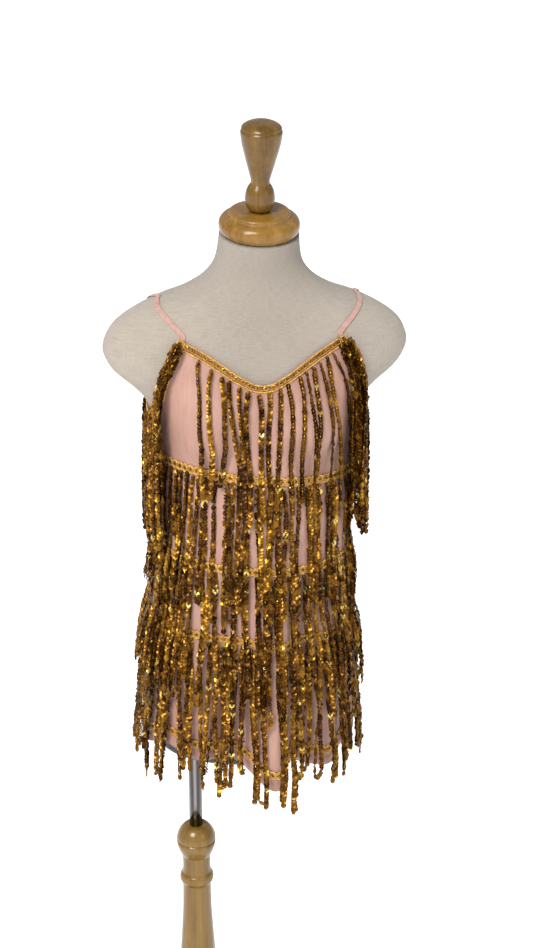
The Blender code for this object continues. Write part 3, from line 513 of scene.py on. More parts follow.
def build_stand(cap_wood, finial_wood_painted_shade, post_wood, steel):
    neck = Vector(place(0.0, NECK_TOP, 0.0, FORM_SECTIONS[-1].forward))
    side = Vector((*turned(1.0, 0.0), 0.0))
    front = Vector((*turned(0.0, 1.0), 0.0))
    up = (Vector((0.0, 0.0, 1.0)) + front * NECK_SLOPE).normalized()
    turn = Matrix((side, up.cross(side), up)).transposed().to_4x4()
    cap_seat = Matrix.Translation(neck + up * GAP) @ turn
    finial_seat = Matrix.Translation(neck + up * (CAP_PROFILE[-1].height + 2 * GAP)) @ turn
    still = Matrix.Identity(4)
    build_turned("Neck_Cap", "neck_cap", CAP_PROFILE, 96, cap_wood, cap_seat)
    build_turned("Finial", "finial", FINIAL_PROFILE, 72, finial_wood_painted_shade, finial_seat)
    build_turned("Stand_Post", "stand_post", POST_PROFILE, 72, post_wood, still)
    build_turned("Stand_Base", "stand_base", BASE_PROFILE, 128, post_wood, still)
    low, high = POST_TOP + GAP, FORM_BOTTOM - GAP
    pole = table(Turn, [(low, POLE_HOLLOW), (low, POLE_RADIUS - POLE_ROUND),
                        (low + POLE_ROUND, POLE_RADIUS), (high, POLE_RADIUS),
                        (high, POLE_HOLLOW)])
    build_turned("Pole", "pole", pole, 64, steel, still)


# What hangs on the cloth: a map of how far out everything stands so far

GRID_TURNS = 240
GRID_TURN = 2 * pi / GRID_TURNS
GRID_STEP = 0.004
GRID_LOW = 0.380
GRID_ROWS = 212
BARE_CLEAR = 0.0032
COVER_DROPS = 0.0, 0.004, 0.008
# How far out hanging strings, rows and edge braids reach from where they lie
STRING_THICK, ROW_THICK, BRAID_THICK = 0.0024, 0.0020, 0.0022


class Stack:
    """Outer reach over angle and height; each later row of fringe hangs over it."""

    def __init__(self):
        turns = np.arange(GRID_TURNS) * GRID_TURN - pi
        levels = GRID_LOW + np.arange(GRID_ROWS) * GRID_STEP
        angle, height = np.meshgrid(turns, levels, indexing="ij")
        top = edge_height(angle)
        cloth = cloth_face(angle, np.clip(height, hem_height(angle), top))
        self.reach = np.where(height > top, form_radius(angle, height) + BARE_CLEAR, cloth)

    def cells(self, angle, height):
        turn = np.round((np.asarray(angle) + pi) / GRID_TURN).astype(int) % GRID_TURNS
        level = np.round((np.asarray(height) - GRID_LOW) / GRID_STEP).astype(int)
        return turn, np.clip(level, 0, GRID_ROWS - 1)

    def under(self, angle, height):
        turn, level = self.cells(angle, height)
        near = [self.reach[(turn + k) % GRID_TURNS, level] for k in (-1, 0, 1)]
        return np.maximum.reduce(near)

    def cover(self, angle, height, radius):
        turn, level = self.cells(angle, height)
        for k in (-1, 0, 1):
            np.maximum.at(self.reach, ((turn + k) % GRID_TURNS, level), radius)

    def cover_braid(self, angle, height, thick):
        for drop in COVER_DROPS:
            self.cover(angle, height - drop, cloth_face(angle, height - drop) + thick)


# Kinds of face in a piece of fringe, as its materials are listed
FOIL, BAND, CORD = 0, 1, 2


class Batch:
    """Points, faces and tones gathered for one piece."""

    def __init__(self):
        self.points, self.faces, self.tones, self.uv, self.kinds = [], [], [], [], []
        self.count = 0

    def add(self, points, faces, tone, uv=None, kind=FOIL):
        points = np.asarray(points, float).reshape(-1, 3)
        faces = np.asarray(faces)
        self.points.append(points)
        self.faces += (faces + self.count).tolist()
        self.tones.append(np.broadcast_to(np.asarray(tone, float), (len(points),)))
        self.uv.append(np.zeros((len(points), 2)) if uv is None else uv.reshape(-1, 2))
        self.kinds.append(np.full(len(faces), kind))
        self.count += len(points)

    def piece(self, name, node, slot, materials, smooth_kinds=(BAND, CORD)):
        made = new_piece(name, node, np.concatenate(self.points), self.faces,
                         materials[0], np.concatenate(self.uv), np.concatenate(self.tones))
        for material in materials[1:]:
            made.data.materials.append(material)
        kinds = np.concatenate(self.kinds)
        made.data.polygons.foreach_set("material_index", kinds.astype(np.int32))
        made.data.polygons.foreach_set("use_smooth", np.isin(kinds, smooth_kinds))
        made.data.update()


CORD_UV = 0.004


def add_tube(batch, line, radius, sides, tone, kind, closed, normal):
    """A round cord along a line of points."""
    along = unit(np.gradient(line, axis=0))
    if closed:
        along = unit(np.roll(line, -1, 0) - np.roll(line, 1, 0))
    first = unit(normal - along * np.sum(normal * along, -1, keepdims=True))
    second = np.cross(along, first)
    rings = [line + radius * (cos(t) * first + sin(t) * second) for t in full_turn(sides)]
    wide = np.tile(np.arange(sides) / sides * CORD_UV, (len(line), 1))
    uv = np.stack([np.repeat(reach_along(line)[:, None], sides, 1), wide], -1)
    batch.add(np.stack(rings, 1), ring_quads(len(line), sides, closed), tone, uv, kind)


def even_steps(angle, height, step, closed):
    """A line of angles and heights, with stops an even distance apart."""
    reach = reach_along(place(angle, height, cloth_face(angle, height)))
    count = int(round(reach[-1] / step))
    stops = np.linspace(0, reach[-1], count + 1)
    if closed:
        stops = stops[:-1]
    return np.interp(stops, reach, angle), np.interp(stops, reach, height), stops, reach[-1]


# Braids: cords and oval sequins on a narrow band along an edge. A closed one goes round
# the dress and its cords wave, an open one follows the upper edge.

BRAID_STEP = 0.0013
SCALLOP = 0.0092
BAND_LINES = 5
BAND_INSET = 0.0006
BAND_LIFT = 0.0003
BAND_SWELL = 0.0004
CORD_LIFT = 0.0009
CORD_WEAVE = 0.0003
OVAL_SIDES = 10
OVAL_RIM = 0.55
OVAL_LIFT = 0.0017
OVAL_LONG, OVAL_SHORT, OVAL_SPREAD = 0.0031, 0.0021, 0.0003
OVAL_RISE, OVAL_SINK = 0.0005, 0.0004
OVAL_MISSING = 0.12
OVAL_TILT = 0.22
OVAL_BELOW_EDGE = 0.0030
BRAID_BELOW_EDGE = 0.0003
Cord = namedtuple("Cord", "offset wave radius")
Braid = namedtuple("Braid", "tall cords oval_offset oval_scale")
OPEN_BRAID = Braid(0.0098, table(Cord, [
    (0.0011, 0.0, 0.00110), (0.0063, 0.0, 0.00060), (0.0086, 0.0, 0.00110),
]), 0.0038, 1.0)
CLOSED_BRAID = Braid(0.0118, table(Cord, [
    (0.0015, 0.0009, 0.00115), (0.0037, 0.0015, 0.00080),
    (0.0081, -0.0015, 0.00080), (0.0102, -0.0009, 0.00115),
]), 0.0059, 1.12)


def build_braid(batch, angle, height, closed, seed):
    """One braid whose upper edge runs along the given angles and heights."""
    braid = CLOSED_BRAID if closed else OPEN_BRAID
    rng = np.random.default_rng(seed)
    angle, height, reach, total = even_steps(angle, height, BRAID_STEP, closed)
    round_at = cloth_face(angle, height)
    if closed:
        side_step = np.full(len(angle), total / len(angle))
        rise = (np.roll(height, -1) - np.roll(height, 1)) / 2
    else:
        side_step = np.gradient(angle) * round_at
        rise = np.gradient(height)
    size = np.hypot(side_step, rise)
    down_side, down_up = rise / size, -side_step / size
    waves = max(int(round(total / SCALLOP)), 1)
    phase = 2 * pi * reach / total * waves

    def spot(offset, lift):
        a = angle + down_side * offset / round_at
        h = height + down_up * offset
        if not closed:
            h = np.minimum(h, edge_height(a) - BRAID_BELOW_EDGE)
        return place(a, h, cloth_face(a, h) + lift)

    lines = []
    for step in range(BAND_LINES):
        offset = BAND_INSET + (braid.tall - 2 * BAND_INSET) * step / (BAND_LINES - 1)
        edge = 0.0 if step in (0, BAND_LINES - 1) else BAND_SWELL
        lines.append(spot(offset, BAND_LIFT + edge))
    band = np.stack(lines, 1)
    index = np.arange(band.shape[0] * BAND_LINES).reshape(-1, BAND_LINES)
    following = np.roll(index, -1, 0) if closed else index[1:]
    now = index if closed else index[:-1]
    quads = np.stack([now[:, :-1], now[:, 1:], following[:, 1:], following[:, :-1]], -1)
    high = np.tile(np.arange(BAND_LINES) * braid.tall / (BAND_LINES - 1), (len(reach), 1))
    uv = np.stack([np.repeat(reach[:, None], BAND_LINES, 1), high], -1)
    batch.add(band, quads.reshape(-1, 4), 0.5, uv, BAND)
    flare = outward(angle)
    for cord in braid.cords:
        offset = cord.offset + cord.wave * np.cos(phase)
        lift = CORD_LIFT + CORD_WEAVE * np.sin(phase * 2 + cord.offset * 900)
        line = spot(offset, lift + cord.radius * 0.4)
        tone = 0.55 + 0.2 * rng.random()
        add_tube(batch, line, cord.radius, 6, tone, CORD, closed, flare)
    for number in range(waves):
        at = (number + 0.5) * (total / waves)
        if not closed and rng.random() < OVAL_MISSING:
            continue
        k = int(np.clip(np.searchsorted(reach, at), 0, len(reach) - 1))
        a = angle[k] + down_side[k] * braid.oval_offset / round_at[k]
        h = height[k] + down_up[k] * braid.oval_offset
        if not closed:
            h = min(h, float(edge_height(np.array(a))) - OVAL_BELOW_EDGE)
        radius = cloth_at(a, h) + OVAL_LIFT
        centre = place(np.array(a), np.array(h), radius)
        ahead = h
        if abs(side_step[k]) > 1e-5:
            ahead = h + 0.01 * round_at[k] * rise[k] / side_step[k]
        along = unit(place(np.array(a + 0.01), np.array(ahead), radius) - centre)
        add_oval(batch, centre, along, outward(np.array(a)), rng, braid.oval_scale)


def add_oval(batch, centre, along, out, rng, scale):
    """An oval sequin sewn into the braid: a raised rim with a painted highlight round a hollow with
    painted shade.
    """
    out = unit(out + OVAL_TILT * rng.normal(size=3))
    along = unit(along - out * np.dot(along, out))
    across = np.cross(out, along)
    long = scale * (OVAL_LONG + OVAL_SPREAD * rng.random())
    short = scale * (OVAL_SHORT + OVAL_SPREAD * rng.random())
    spokes = [along * long * cos(t) + across * short * sin(t) for t in full_turn(OVAL_SIDES)]
    rim = [centre + spoke for spoke in spokes]
    ring = [centre + out * OVAL_RISE + spoke * OVAL_RIM for spoke in spokes]
    faces = []
    for i in range(OVAL_SIDES):
        j = (i + 1) % OVAL_SIDES
        faces += [(i, j, OVAL_SIDES + j), (i, OVAL_SIDES + j, OVAL_SIDES + i),
                  (OVAL_SIDES + i, OVAL_SIDES + j, 2 * OVAL_SIDES)]
    # painted highlight on the rim, painted shade in the hollow, and a tone between the two on the
    # inner ring
    bright = 0.78 + 0.16 * rng.random()
    dark = 0.30 * rng.random() ** 1.5
    between = 0.45 * bright + 0.3 * dark
    tones = [bright] * OVAL_SIDES + [between] * OVAL_SIDES + [dark]
    batch.add(np.array(rim + ring + [centre - out * OVAL_SINK]), faces, tones)


# Sewing: two rows of stitches along the hem and one on each side of the side seams

STITCH_STEP = 0.0032
STITCH_RADIUS = 0.00028
STITCH_SINK = 0.0004
HEM_ROWS = 0.0015, 0.0045
SEAM_SIDE = 0.0035
SEAM_ROOM = 0.014
ROUND = np.linspace(-pi, pi, 721)


def build_stitches(material):
    batch = Batch()
    rows = [(ROUND, hem_height(ROUND) + HEM_FOLD - inset, HEM_THICK) for inset in HEM_ROWS]
    for seam in (-pi / 2, pi / 2):
        low = float(hem_height(np.array(seam))) + SEAM_ROOM
        high = float(edge_height(np.array(seam))) - SEAM_ROOM
        heights = np.linspace(low, high, 200)
        for side in (-SEAM_SIDE, SEAM_SIDE):
            rows.append((seam + side / CREASE_ROUND + 0.0 * heights, heights, 0.0))
    for turns, heights, lift in rows:
        angle, height, _, _ = even_steps(turns, heights, STITCH_STEP / 4, False)
        radius = cloth_face(angle, height) + lift + STITCH_RADIUS * 0.5
        for start in range(0, len(angle) - 4, 4):
            part = slice(start, start + 4)
            sunk = radius[part] - STITCH_SINK * np.array((1.0, 0.0, 0.0, 1.0))
            line = place(angle[part], height[part], sunk)
            add_tube(batch, line, STITCH_RADIUS, 3, 0.5, FOIL, False, outward(angle[part]))
    batch.piece("Stitches", None, "pink_satin_knit", [material], smooth_kinds=(FOIL,))


# Strings of sequins

SEQUIN_RADIUS = 0.0038
SEQUIN_PITCH = 0.0043
SEQUIN_SIDES = 8
SEQUIN_START = 0.3
SEQUIN_CUP = 0.0009
SEQUIN_TIP = 0.30
# Each sequin's rim is painted darker, a painted shade, and the middle of its cup lighter, a painted
# highlight, no higher than FOIL_TOP
RIM_SHADE_TONE = -0.10
CUP_HIGHLIGHT_TONE = 0.13
FOIL_TOP = 0.94
STITCH_HALF = 0.00060
STITCH_RISE = 0.0006
THREAD_RADIUS = 0.00030
THREAD_TAIL = 0.009
HOOK_TURN = 0.0026
FLAT_TWIST = 0.45
LOOP_GAP = 0.0052
# Some long strings have a gap: how often, and what they need
GAP_CHANCE, GAP_COUNT = 0.10, 30
# A few sequins glint green or orange and some lie in the dark: their tones and shares
GREEN_GLINT_TONE, ORANGE_GLINT_TONE = 0.97, 0.995
GREEN_GLINT_ABOVE, ORANGE_GLINT_ABOVE, PAINTED_SHADE_BELOW = 0.988, 0.982, 0.02
BARE_THREAD = 0.002, 0.006
LOCK_STEP = 0.0025


class Sequins:
    """Sequins gathered for one piece of fringe: middles, directions, size and tone."""

    def __init__(self):
        self.rows = []

    def write(self, batch):
        """Cupped discs, each a fan of flat facets, with a stitch of thread across it."""
        middle, along, out, size, tone = [np.concatenate(column) for column in zip(*self.rows)]
        across = np.cross(out, along)
        points = [middle - out * SEQUIN_CUP]
        for t in full_turn(SEQUIN_SIDES) + SEQUIN_START:
            points.append(middle + (along * cos(t) + across * sin(t)) * size[:, None])
        fan = [(0, 1 + i, 1 + (i + 1) % SEQUIN_SIDES) for i in range(SEQUIN_SIDES)]
        count = SEQUIN_SIDES + 1
        # painted shade on the rim and a painted highlight in the middle of the cup
        tones = np.repeat(np.maximum(tone + RIM_SHADE_TONE, 0.0)[:, None], count, 1)
        tones[:, 0] = np.where(tone < FOIL_TOP, np.minimum(tone + CUP_HIGHLIGHT_TONE, FOIL_TOP), tone)
        batch.add(np.stack(points, 1), repeated(fan, len(middle), count), tones.ravel())
        wide = across * STITCH_HALF
        half = along * (SEQUIN_PITCH * 0.40)
        lift, ridge = out * 0.0001, out * STITCH_RISE
        stitch = [end + side for end in (middle - half, middle + half)
                  for side in (lift - wide, ridge, lift + wide)]
        own = np.clip(0.15 + 0.8 * np.roll(tone, 1), 0.0, 0.9)
        quads = [(0, 1, 4, 3), (1, 2, 5, 4)]
        batch.add(np.stack(stitch, 1), repeated(quads, len(middle), 6), np.repeat(own, 6))


def hang(stack, angle, height, root, lift):
    """Radii of a hanging string: plumb or outwards over all that it passes."""
    reach = stack.under(angle, height) + lift
    reach[0] = root
    reach = np.maximum.accumulate(reach)
    eased = evened(reach, 5)
    return np.maximum(eased, reach * 0.35 + eased * 0.65)


def evened(values, size):
    """Running mean over a few neighbours on each side."""
    count = 2 * size + 1
    return np.convolve(np.pad(values, size, mode="edge"), np.ones(count) / count, mode="valid")


def thread(batch, line, out):
    add_tube(batch, line, THREAD_RADIUS, 3, 0.5, CORD, False, np.broadcast_to(out, line.shape))


def add_string(sequins, batch, line, out, rng, bare, gap):
    """Sequins an even distance apart along a line, after a stretch of bare thread."""
    reach = reach_along(line)
    at = np.arange(bare, reach[-1] - 0.001, SEQUIN_PITCH)
    count = len(at)
    if count < 3:
        return
    keep = np.ones(count, bool)
    if gap and rng.random() < GAP_CHANCE and count > GAP_COUNT:
        start = rng.integers(8, count - 16)
        keep[start:start + rng.integers(4, 11)] = False
    middle = read_line(at, reach, line)
    along = unit(read_line(at + 0.002, reach, line) - read_line(at - 0.002, reach, line))
    face = unit(read_line(at, reach, out))
    face = unit(face - along * np.sum(face * along, -1, keepdims=True))
    side = np.cross(along, face)
    slow = rng.uniform(-0.35, 0.35) + 0.40 * np.sin(at * rng.uniform(25, 60) + rng.uniform(0, 6.3))
    slow = slow + 0.55 * np.sin(at * rng.uniform(8, 18) + rng.uniform(0, 6.3)) ** 3
    twist = (0.8 * slow + rng.normal(0, 0.30, count)) * (1.0 if gap else FLAT_TWIST)
    facing = face * np.cos(twist)[:, None] + side * np.sin(twist)[:, None]
    tip = (SEQUIN_TIP + rng.normal(0, 0.22, count))[:, None]
    tipped = along * np.cos(tip) + facing * np.sin(tip)
    normal = facing * np.cos(tip) - along * np.sin(tip)
    size = SEQUIN_RADIUS * rng.uniform(0.92, 1.08, count)
    base = rng.uniform(0.0, 1.0)
    tone = np.clip(0.36 + 0.20 * (base - 0.5) + 0.12 * np.sin(at * 30 + 7 * base)
                   + rng.normal(0, 0.13, count), 0.02, 0.93)
    # a few sequins get a painted glint in green or orange, and a few get painted shade near black
    rare = rng.random(count)
    tone = np.where(rare > ORANGE_GLINT_ABOVE, ORANGE_GLINT_TONE, tone)
    tone = np.where(rare > GREEN_GLINT_ABOVE, GREEN_GLINT_TONE, tone)
    tone = np.where(rare < PAINTED_SHADE_BELOW, 0.0, tone)
    sequins.rows.append([values[keep] for values in (middle, tipped, normal, size, tone)])
    root = np.linspace(0, bare + 0.001, max(int(bare / 0.0012), 2) + 1)
    thread(batch, read_line(root, reach, line), out[0])
    if not keep.all():
        missing = np.flatnonzero(~keep)
        thread(batch, middle[max(missing[0] - 1, 0):missing[-1] + 2], out[0])


def hooked(line, out, rise, side):
    """The line with its end bent round and up again."""
    aside = side * np.cross(out, (0.0, 0.0, 1.0))
    down = np.array((0.0, 0.0, -HOOK_TURN))
    bend = [line[-1] + aside * HOOK_TURN * (1 - cos(t)) + down * sin(t)
            for t in np.linspace(0, pi, 6)[1:]]
    bend.append(bend[-1] + np.array((0.0, 0.0, rise)) + out * 0.001)
    return np.concatenate([line, np.array(bend)])


Lock = namedtuple("Lock", "angle top length root comb lift flare gap")
KINDS = ("single", "tail", "loop", "hook")
KIND_SHARES = (0.34, 0.20, 0.30, 0.16)
NECK_SHARES = (0.55, 0.30, 0.0, 0.15)


def add_lock(sequins, batch, stack, lock, rng, kind):
    """One string hung at a lock's root: a single string, a hooked one or a narrow loop."""
    round_at = float(stack.under(np.array([lock.angle]), np.array([lock.top - 0.02]))[0])
    slow = rng.uniform(0, 6.3, 4)
    swing = rng.normal(0, 0.0028)
    apart = LOOP_GAP * rng.uniform(0.6, 1.3)

    def leg(side, own_lift):
        down = np.arange(int(lock.length / LOCK_STEP) + 1) * LOCK_STEP
        share = down / lock.length
        height = lock.top - down
        wander = (0.0012 * np.sin(down * 38 + slow[0] + side)
                  + 0.0015 * np.sin(down * 17 + slow[1] + 2 * side))
        spread = side * apart / 2 * smooth(share * 3.0 + 0.35) + wander * smooth(share * 6)
        spread = spread + swing * share * share
        if side:
            closing = smooth((down - (lock.length - apart)) / apart)
            spread = spread * (1 - closing) + swing * share * share * closing
        turn = lock.angle + lock.comb(share) + spread / round_at
        bump = own_lift + 0.0006 * np.sin(down * 29 + slow[2] + 3 * side)
        radius = hang(stack, turn, height, lock.root, bump)
        return turn, height, radius + lock.flare * share

    if kind == "loop":
        first = leg(-1.0, lock.lift + rng.uniform(0.0, 0.0012))
        second = leg(1.0, lock.lift + rng.uniform(0.0006, 0.0022))
        turn, height, radius = [np.concatenate([a, b[::-1][1:]]) for a, b in zip(first, second)]
        turn, radius = evened(turn, 1), evened(radius, 3)
    else:
        turn, height, radius = leg(0.0, lock.lift + rng.uniform(0.0, 0.0018))
    line, out = place(turn, height, radius), outward(turn)
    if kind == "hook":
        count = len(line)
        line = hooked(line, out[-1], rng.uniform(0.002, 0.010), rng.choice((-1.0, 1.0)))
        out = np.concatenate([out, np.repeat(out[-1:], len(line) - count, 0)])
    if kind == "tail":
        fall = rng.uniform(0.3, 1.0) * THREAD_TAIL
        aside = np.cross(out[-1], (0.0, 0.0, 1.0)) * rng.normal(0, 0.25)
        end = line[-1] + np.linspace(0, 1, 4)[:, None] * (aside - (0.0, 0.0, 1.0)) * fall
        thread(batch, end, out[-1])
    add_string(sequins, batch, line, out, rng, rng.uniform(*BARE_THREAD), lock.gap)
    return turn, height, radius


# Where the strings hang

LENGTH_WAVES = [(2.39, 0.7, 0.3), (5.13, 0.0, 0.2)]


def uneven(index, shortest, longest):
    level = 0.5 + sum(share * sin(pitch * index + start) for pitch, start, share in LENGTH_WAVES)
    return shortest + (longest - shortest) * level


Row = namedtuple("Row", "name node height tilt shortest longest flare strings")
ROWS = table(Row, [
    ("Fringe_Hip", "fringe_hip", 0.762, 0.006, 0.195, 0.245, 0.008, 1.85),
    ("Fringe_Waist", "fringe_waist", 0.862, 0.008, 0.170, 0.215, 0.003, 1.5),
    ("Fringe_Chest", "fringe_chest", 0.983, 0.012, 0.165, 0.200, 0.000, 1.4),
])
HEM_BRAID = 0.592
FRONT_BAYS = 28
BACK_BAYS = 20
# Strings of a row gather into bundles: the bundles' widths in degrees, used in turn, and
# how far their strings lean together
BUNDLES = (7.0, 11.0, 6.0, 9.5, 13.0, 7.5, 10.0, 5.5, 8.5, 12.0, 6.5)
BUNDLE_LEAN = 0.55
# How strings of one root stand apart and over each other, in rows and at the edges
ROW_APART, ROW_LIFT, ROW_LIFT_MORE = 0.038, 0.0009, 0.0014
EDGE_APART, EDGE_LIFT, EDGE_LIFT_MORE = 0.014, 0.0010, 0.0013
ROW_ROOT_UP = ROW_ROOT_OUT = 0.0008
ROW_LENGTH, EDGE_LENGTH = (0.84, 1.02), (0.90, 1.01)
# The lowest row hangs a little higher at the viewer's right
RIGHT_TRIM, RIGHT_TRIM_AT, RIGHT_TRIM_WIDE = 0.012, radians(68.0), radians(26.0)
# The strings below the neckline: their angle at the braid and where they hang lower down
NeckString = namedtuple("NeckString", "top low")
NECK_STRINGS = table(NeckString, [
    (-45.5, -35.5), (-37.5, -30.5), (-30, -22), (-25.5, -14.5), (-18, -13), (-11.5, -9.5),
    (-3.5, -1.5), (4.5, 4), (12, 9), (17.5, 17.5), (26, 23), (31, 30), (36, 33.5), (41, 41),
    (45, 48.5), (48.5, 59),
])
NECK_RUN = 0.62
NECK_LENGTH = 0.150, 0.195
# Evenly spaced strings: first and last angle, how many, shortest and longest, and how
# far the first and the last are combed round, in degrees
Spray = namedtuple("Spray", "first last count shortest longest comb_first comb_last")
BACK_SPRAY = Spray(130.5, 229.5, 12, 0.150, 0.185, 0.0, 0.0)
BACK_COUNT = 1.2
ARM_BACK = Spray(94.5, 122.0, 9, 0.150, 0.180, 0.0, -4.0)
# Strings along an armhole, from the front corner down: degrees at the root and how far
# they are combed outwards
ArmString = namedtuple("ArmString", "angle comb")
ARM_STRINGS = table(ArmString, [
    (53.8, 12.5), (54.9, 12), (55.9, 11.5), (56.8, 11), (57.6, 10.5), (58.4, 10), (59.2, 9.5),
    (60.2, 9), (61.4, 8), (63, 7), (65.2, 6), (68, 4.5), (71, 3.5), (74.5, 2.5), (78.5, 1.5),
    (82.5, 1), (86.5, 0.5),
])
ARM_LENGTH = 0.175, 0.205
ARM_COUNT = 2.5
ARM_LEVEL = 1.045
ARM_END_LEFT, ARM_END_RIGHT = 0.874, 0.887
ARM_COMB_LEFT, ARM_COMB_RIGHT = 0.55, 0.45
ARM_FLARE_RIGHT = 0.006
ARM_ON_BRAID = 0.35
ARM_ROOT_OUT, NECK_ROOT_OUT = 0.0030, 0.0010
EDGE_STEEPEST = 2.6


def cover_all(stack, drawn):
    for turn, height, radius in drawn:
        stack.cover(turn, height, radius + STRING_THICK)


def bundle_middles(start):
    """The middle of the bundle for each degree round the form."""
    middles, low, index = [], 0.0, start
    while len(middles) < 360:
        high = min(low + BUNDLES[index % len(BUNDLES)], 360.0)
        count = max(int(round(high)) - len(middles), 0)
        middles += [radians((low + high) / 2 - 180.0)] * count
        low, index = high, index + 1
    return middles


def build_rings(stack, materials):
    bays = [radians(-90 + 180 * (i + 0.5) / FRONT_BAYS) for i in range(FRONT_BAYS)]
    bays += [radians(90 + 180 * (i + 0.5) / BACK_BAYS) for i in range(BACK_BAYS)]
    for number, row in enumerate(ROWS):
        rng = np.random.default_rng(20 + number)
        batch, sequins = Batch(), Sequins()
        build_braid(batch, ROUND, row.height - row.tilt * np.sin(ROUND), True, 40 + number)
        drawn = []
        middles = bundle_middles(3 * number)
        for index, angle in enumerate(bays):
            length = uneven(index, row.shortest, row.longest)
            if row.node == "fringe_hip":
                length -= RIGHT_TRIM * np.exp(-((angle - RIGHT_TRIM_AT) / RIGHT_TRIM_WIDE) ** 2)
            top = row.height - row.tilt * sin(angle) - CLOSED_BRAID.tall + ROW_ROOT_UP
            strings = int(row.strings) + (rng.random() < row.strings % 1)
            for k in range(strings):
                at = angle + rng.normal(0, 0.012) + (k - (strings - 1) / 2) * ROW_APART
                root = cloth_at(at, top) + ROW_ROOT_OUT
                middle = middles[int(np.degrees(at) + 180.0) % 360]
                comb = BUNDLE_LEAN * wrap(middle - at) + rng.normal(0, 0.010)
                lock = Lock(at, top, length * rng.uniform(*ROW_LENGTH) + 0.004, root,
                            lambda share: comb * smooth(share),
                            ROW_LIFT + ROW_LIFT_MORE * k, row.flare, True)
                kind = rng.choice(KINDS, p=KIND_SHARES)
                drawn.append(add_lock(sequins, batch, stack, lock, rng, kind))
        cover_all(stack, drawn)
        turns = np.linspace(-pi, pi, 480)
        stack.cover_braid(turns, row.height - row.tilt * np.sin(turns), ROW_THICK)
        sequins.write(batch)
        batch.piece(row.name, row.node, "gold_sequin_fringe", materials)


def build_hem(stack, materials):
    batch = Batch()
    heights = HEM_BRAID - (HEM - hem_height(ROUND))
    build_braid(batch, ROUND, heights, True, 60)
    stack.cover_braid(ROUND, heights, BRAID_THICK)
    batch.piece("Braid_Hem", "trim_hem", "gold_braid", materials)


def spray_strings(spray, side=1):
    """Angle, comb and length of each string of a spray."""
    for index in range(spray.count):
        share = index / (spray.count - 1)
        angle = side * radians(spray.first + (spray.last - spray.first) * share)
        comb = side * radians(spray.comb_first + (spray.comb_last - spray.comb_first) * share)
        yield angle, comb, uneven(index, spray.shortest, spray.longest)


def edge_drop(angle):
    """Height of the open braid at an angle, where it may run down steeply."""
    probe = radians(1.0)
    rise = float(edge_height(np.array(angle + probe)) - edge_height(np.array(angle - probe)))
    run = 2 * probe * CREASE_ROUND
    return OPEN_BRAID.tall * float(np.hypot(1.0, min(abs(rise / run), EDGE_STEEPEST)))


def neck_locks():
    """The strings below the front neckline, each with its own course."""
    for index, string in enumerate(NECK_STRINGS):
        angle, away = radians(string.top), radians(string.low - string.top)
        comb = lambda share, away=away: away * np.minimum(share / NECK_RUN, 1.0)
        yield angle, uneven(index, *NECK_LENGTH), comb, 1


def combed(rng, angle, comb, length, strings):
    """A lock combed sideways over the first part of its fall."""
    own = comb + rng.normal(0, 0.012)
    count = int(strings) + (rng.random() < strings % 1)
    return angle, length, (lambda share: own * smooth(share * 2.4)), count


def arm_locks(side, rng):
    share = ARM_COMB_LEFT if side < 0 else ARM_COMB_RIGHT
    for index, string in enumerate(ARM_STRINGS):
        comb = side * radians(string.comb) * share
        yield combed(rng, side * radians(string.angle), comb, uneven(index, *ARM_LENGTH), ARM_COUNT)
    for strings in spray_strings(ARM_BACK, side):
        yield combed(rng, *strings, ARM_COUNT)


def build_edges(stack, materials):
    front, back = FRONT_CORNER, 180 - BACK_CORNER
    edges = [
        ("Trim_Neck_Front", "trim_neck_front", -front + 0.3, front - 0.3, 0),
        ("Trim_Neck_Back", "trim_neck_back", back + 0.3, 360 - back - 0.3, 0),
        ("Trim_Armhole_Left", "trim_armhole_left", -back + 0.1, -front - 0.1, -1),
        ("Trim_Armhole_Right", "trim_armhole_right", front + 0.1, back - 0.1, 1),
    ]
    for number, (name, node, first, last, arm) in enumerate(edges):
        rng = np.random.default_rng(70 + number)
        batch, sequins = Batch(), Sequins()
        turns = np.radians(np.linspace(first, last, 700))
        heights = edge_height(turns) - 0.0002
        build_braid(batch, turns, heights, False, 80 + number)
        stack.cover_braid(turns, heights, BRAID_THICK)
        if arm:
            locks = list(arm_locks(arm, rng))
        elif name == "Trim_Neck_Front":
            locks = list(neck_locks())
        else:
            locks = [combed(rng, *strings, BACK_COUNT) for strings in spray_strings(BACK_SPRAY)]
        flare = ARM_FLARE_RIGHT if arm > 0 else 0.0
        end = ARM_END_RIGHT if arm > 0 else ARM_END_LEFT
        below = ARM_ON_BRAID if arm else 1.0
        drawn = []
        for angle, length, comb, count in locks:
            start = float(edge_height(np.array(angle))) - below * edge_drop(angle)
            if arm:
                length = min(length + max(start - ARM_LEVEL, 0.0), start - end)
            for k in range(count):
                at = angle + rng.normal(0, 0.004 if arm else 0.002)
                at = at + (k - (count - 1) / 2) * EDGE_APART
                top = start
                if arm:
                    top = float(edge_height(np.array(at))) - below * edge_drop(at)
                top = min(top, start + 0.004)
                root = cloth_at(at, top) + (ARM_ROOT_OUT if arm else NECK_ROOT_OUT)
                lock = Lock(at, top, length * rng.uniform(*EDGE_LENGTH), root, comb,
                            EDGE_LIFT + EDGE_LIFT_MORE * k, flare, bool(arm))
                kind = rng.choice(KINDS, p=KIND_SHARES if arm else NECK_SHARES)
                drawn.append(add_lock(sequins, batch, stack, lock, rng, kind))
        cover_all(stack, drawn)
        sequins.write(batch)
        batch.piece(name, node, "gold_sequin_fringe", materials)


# Materials

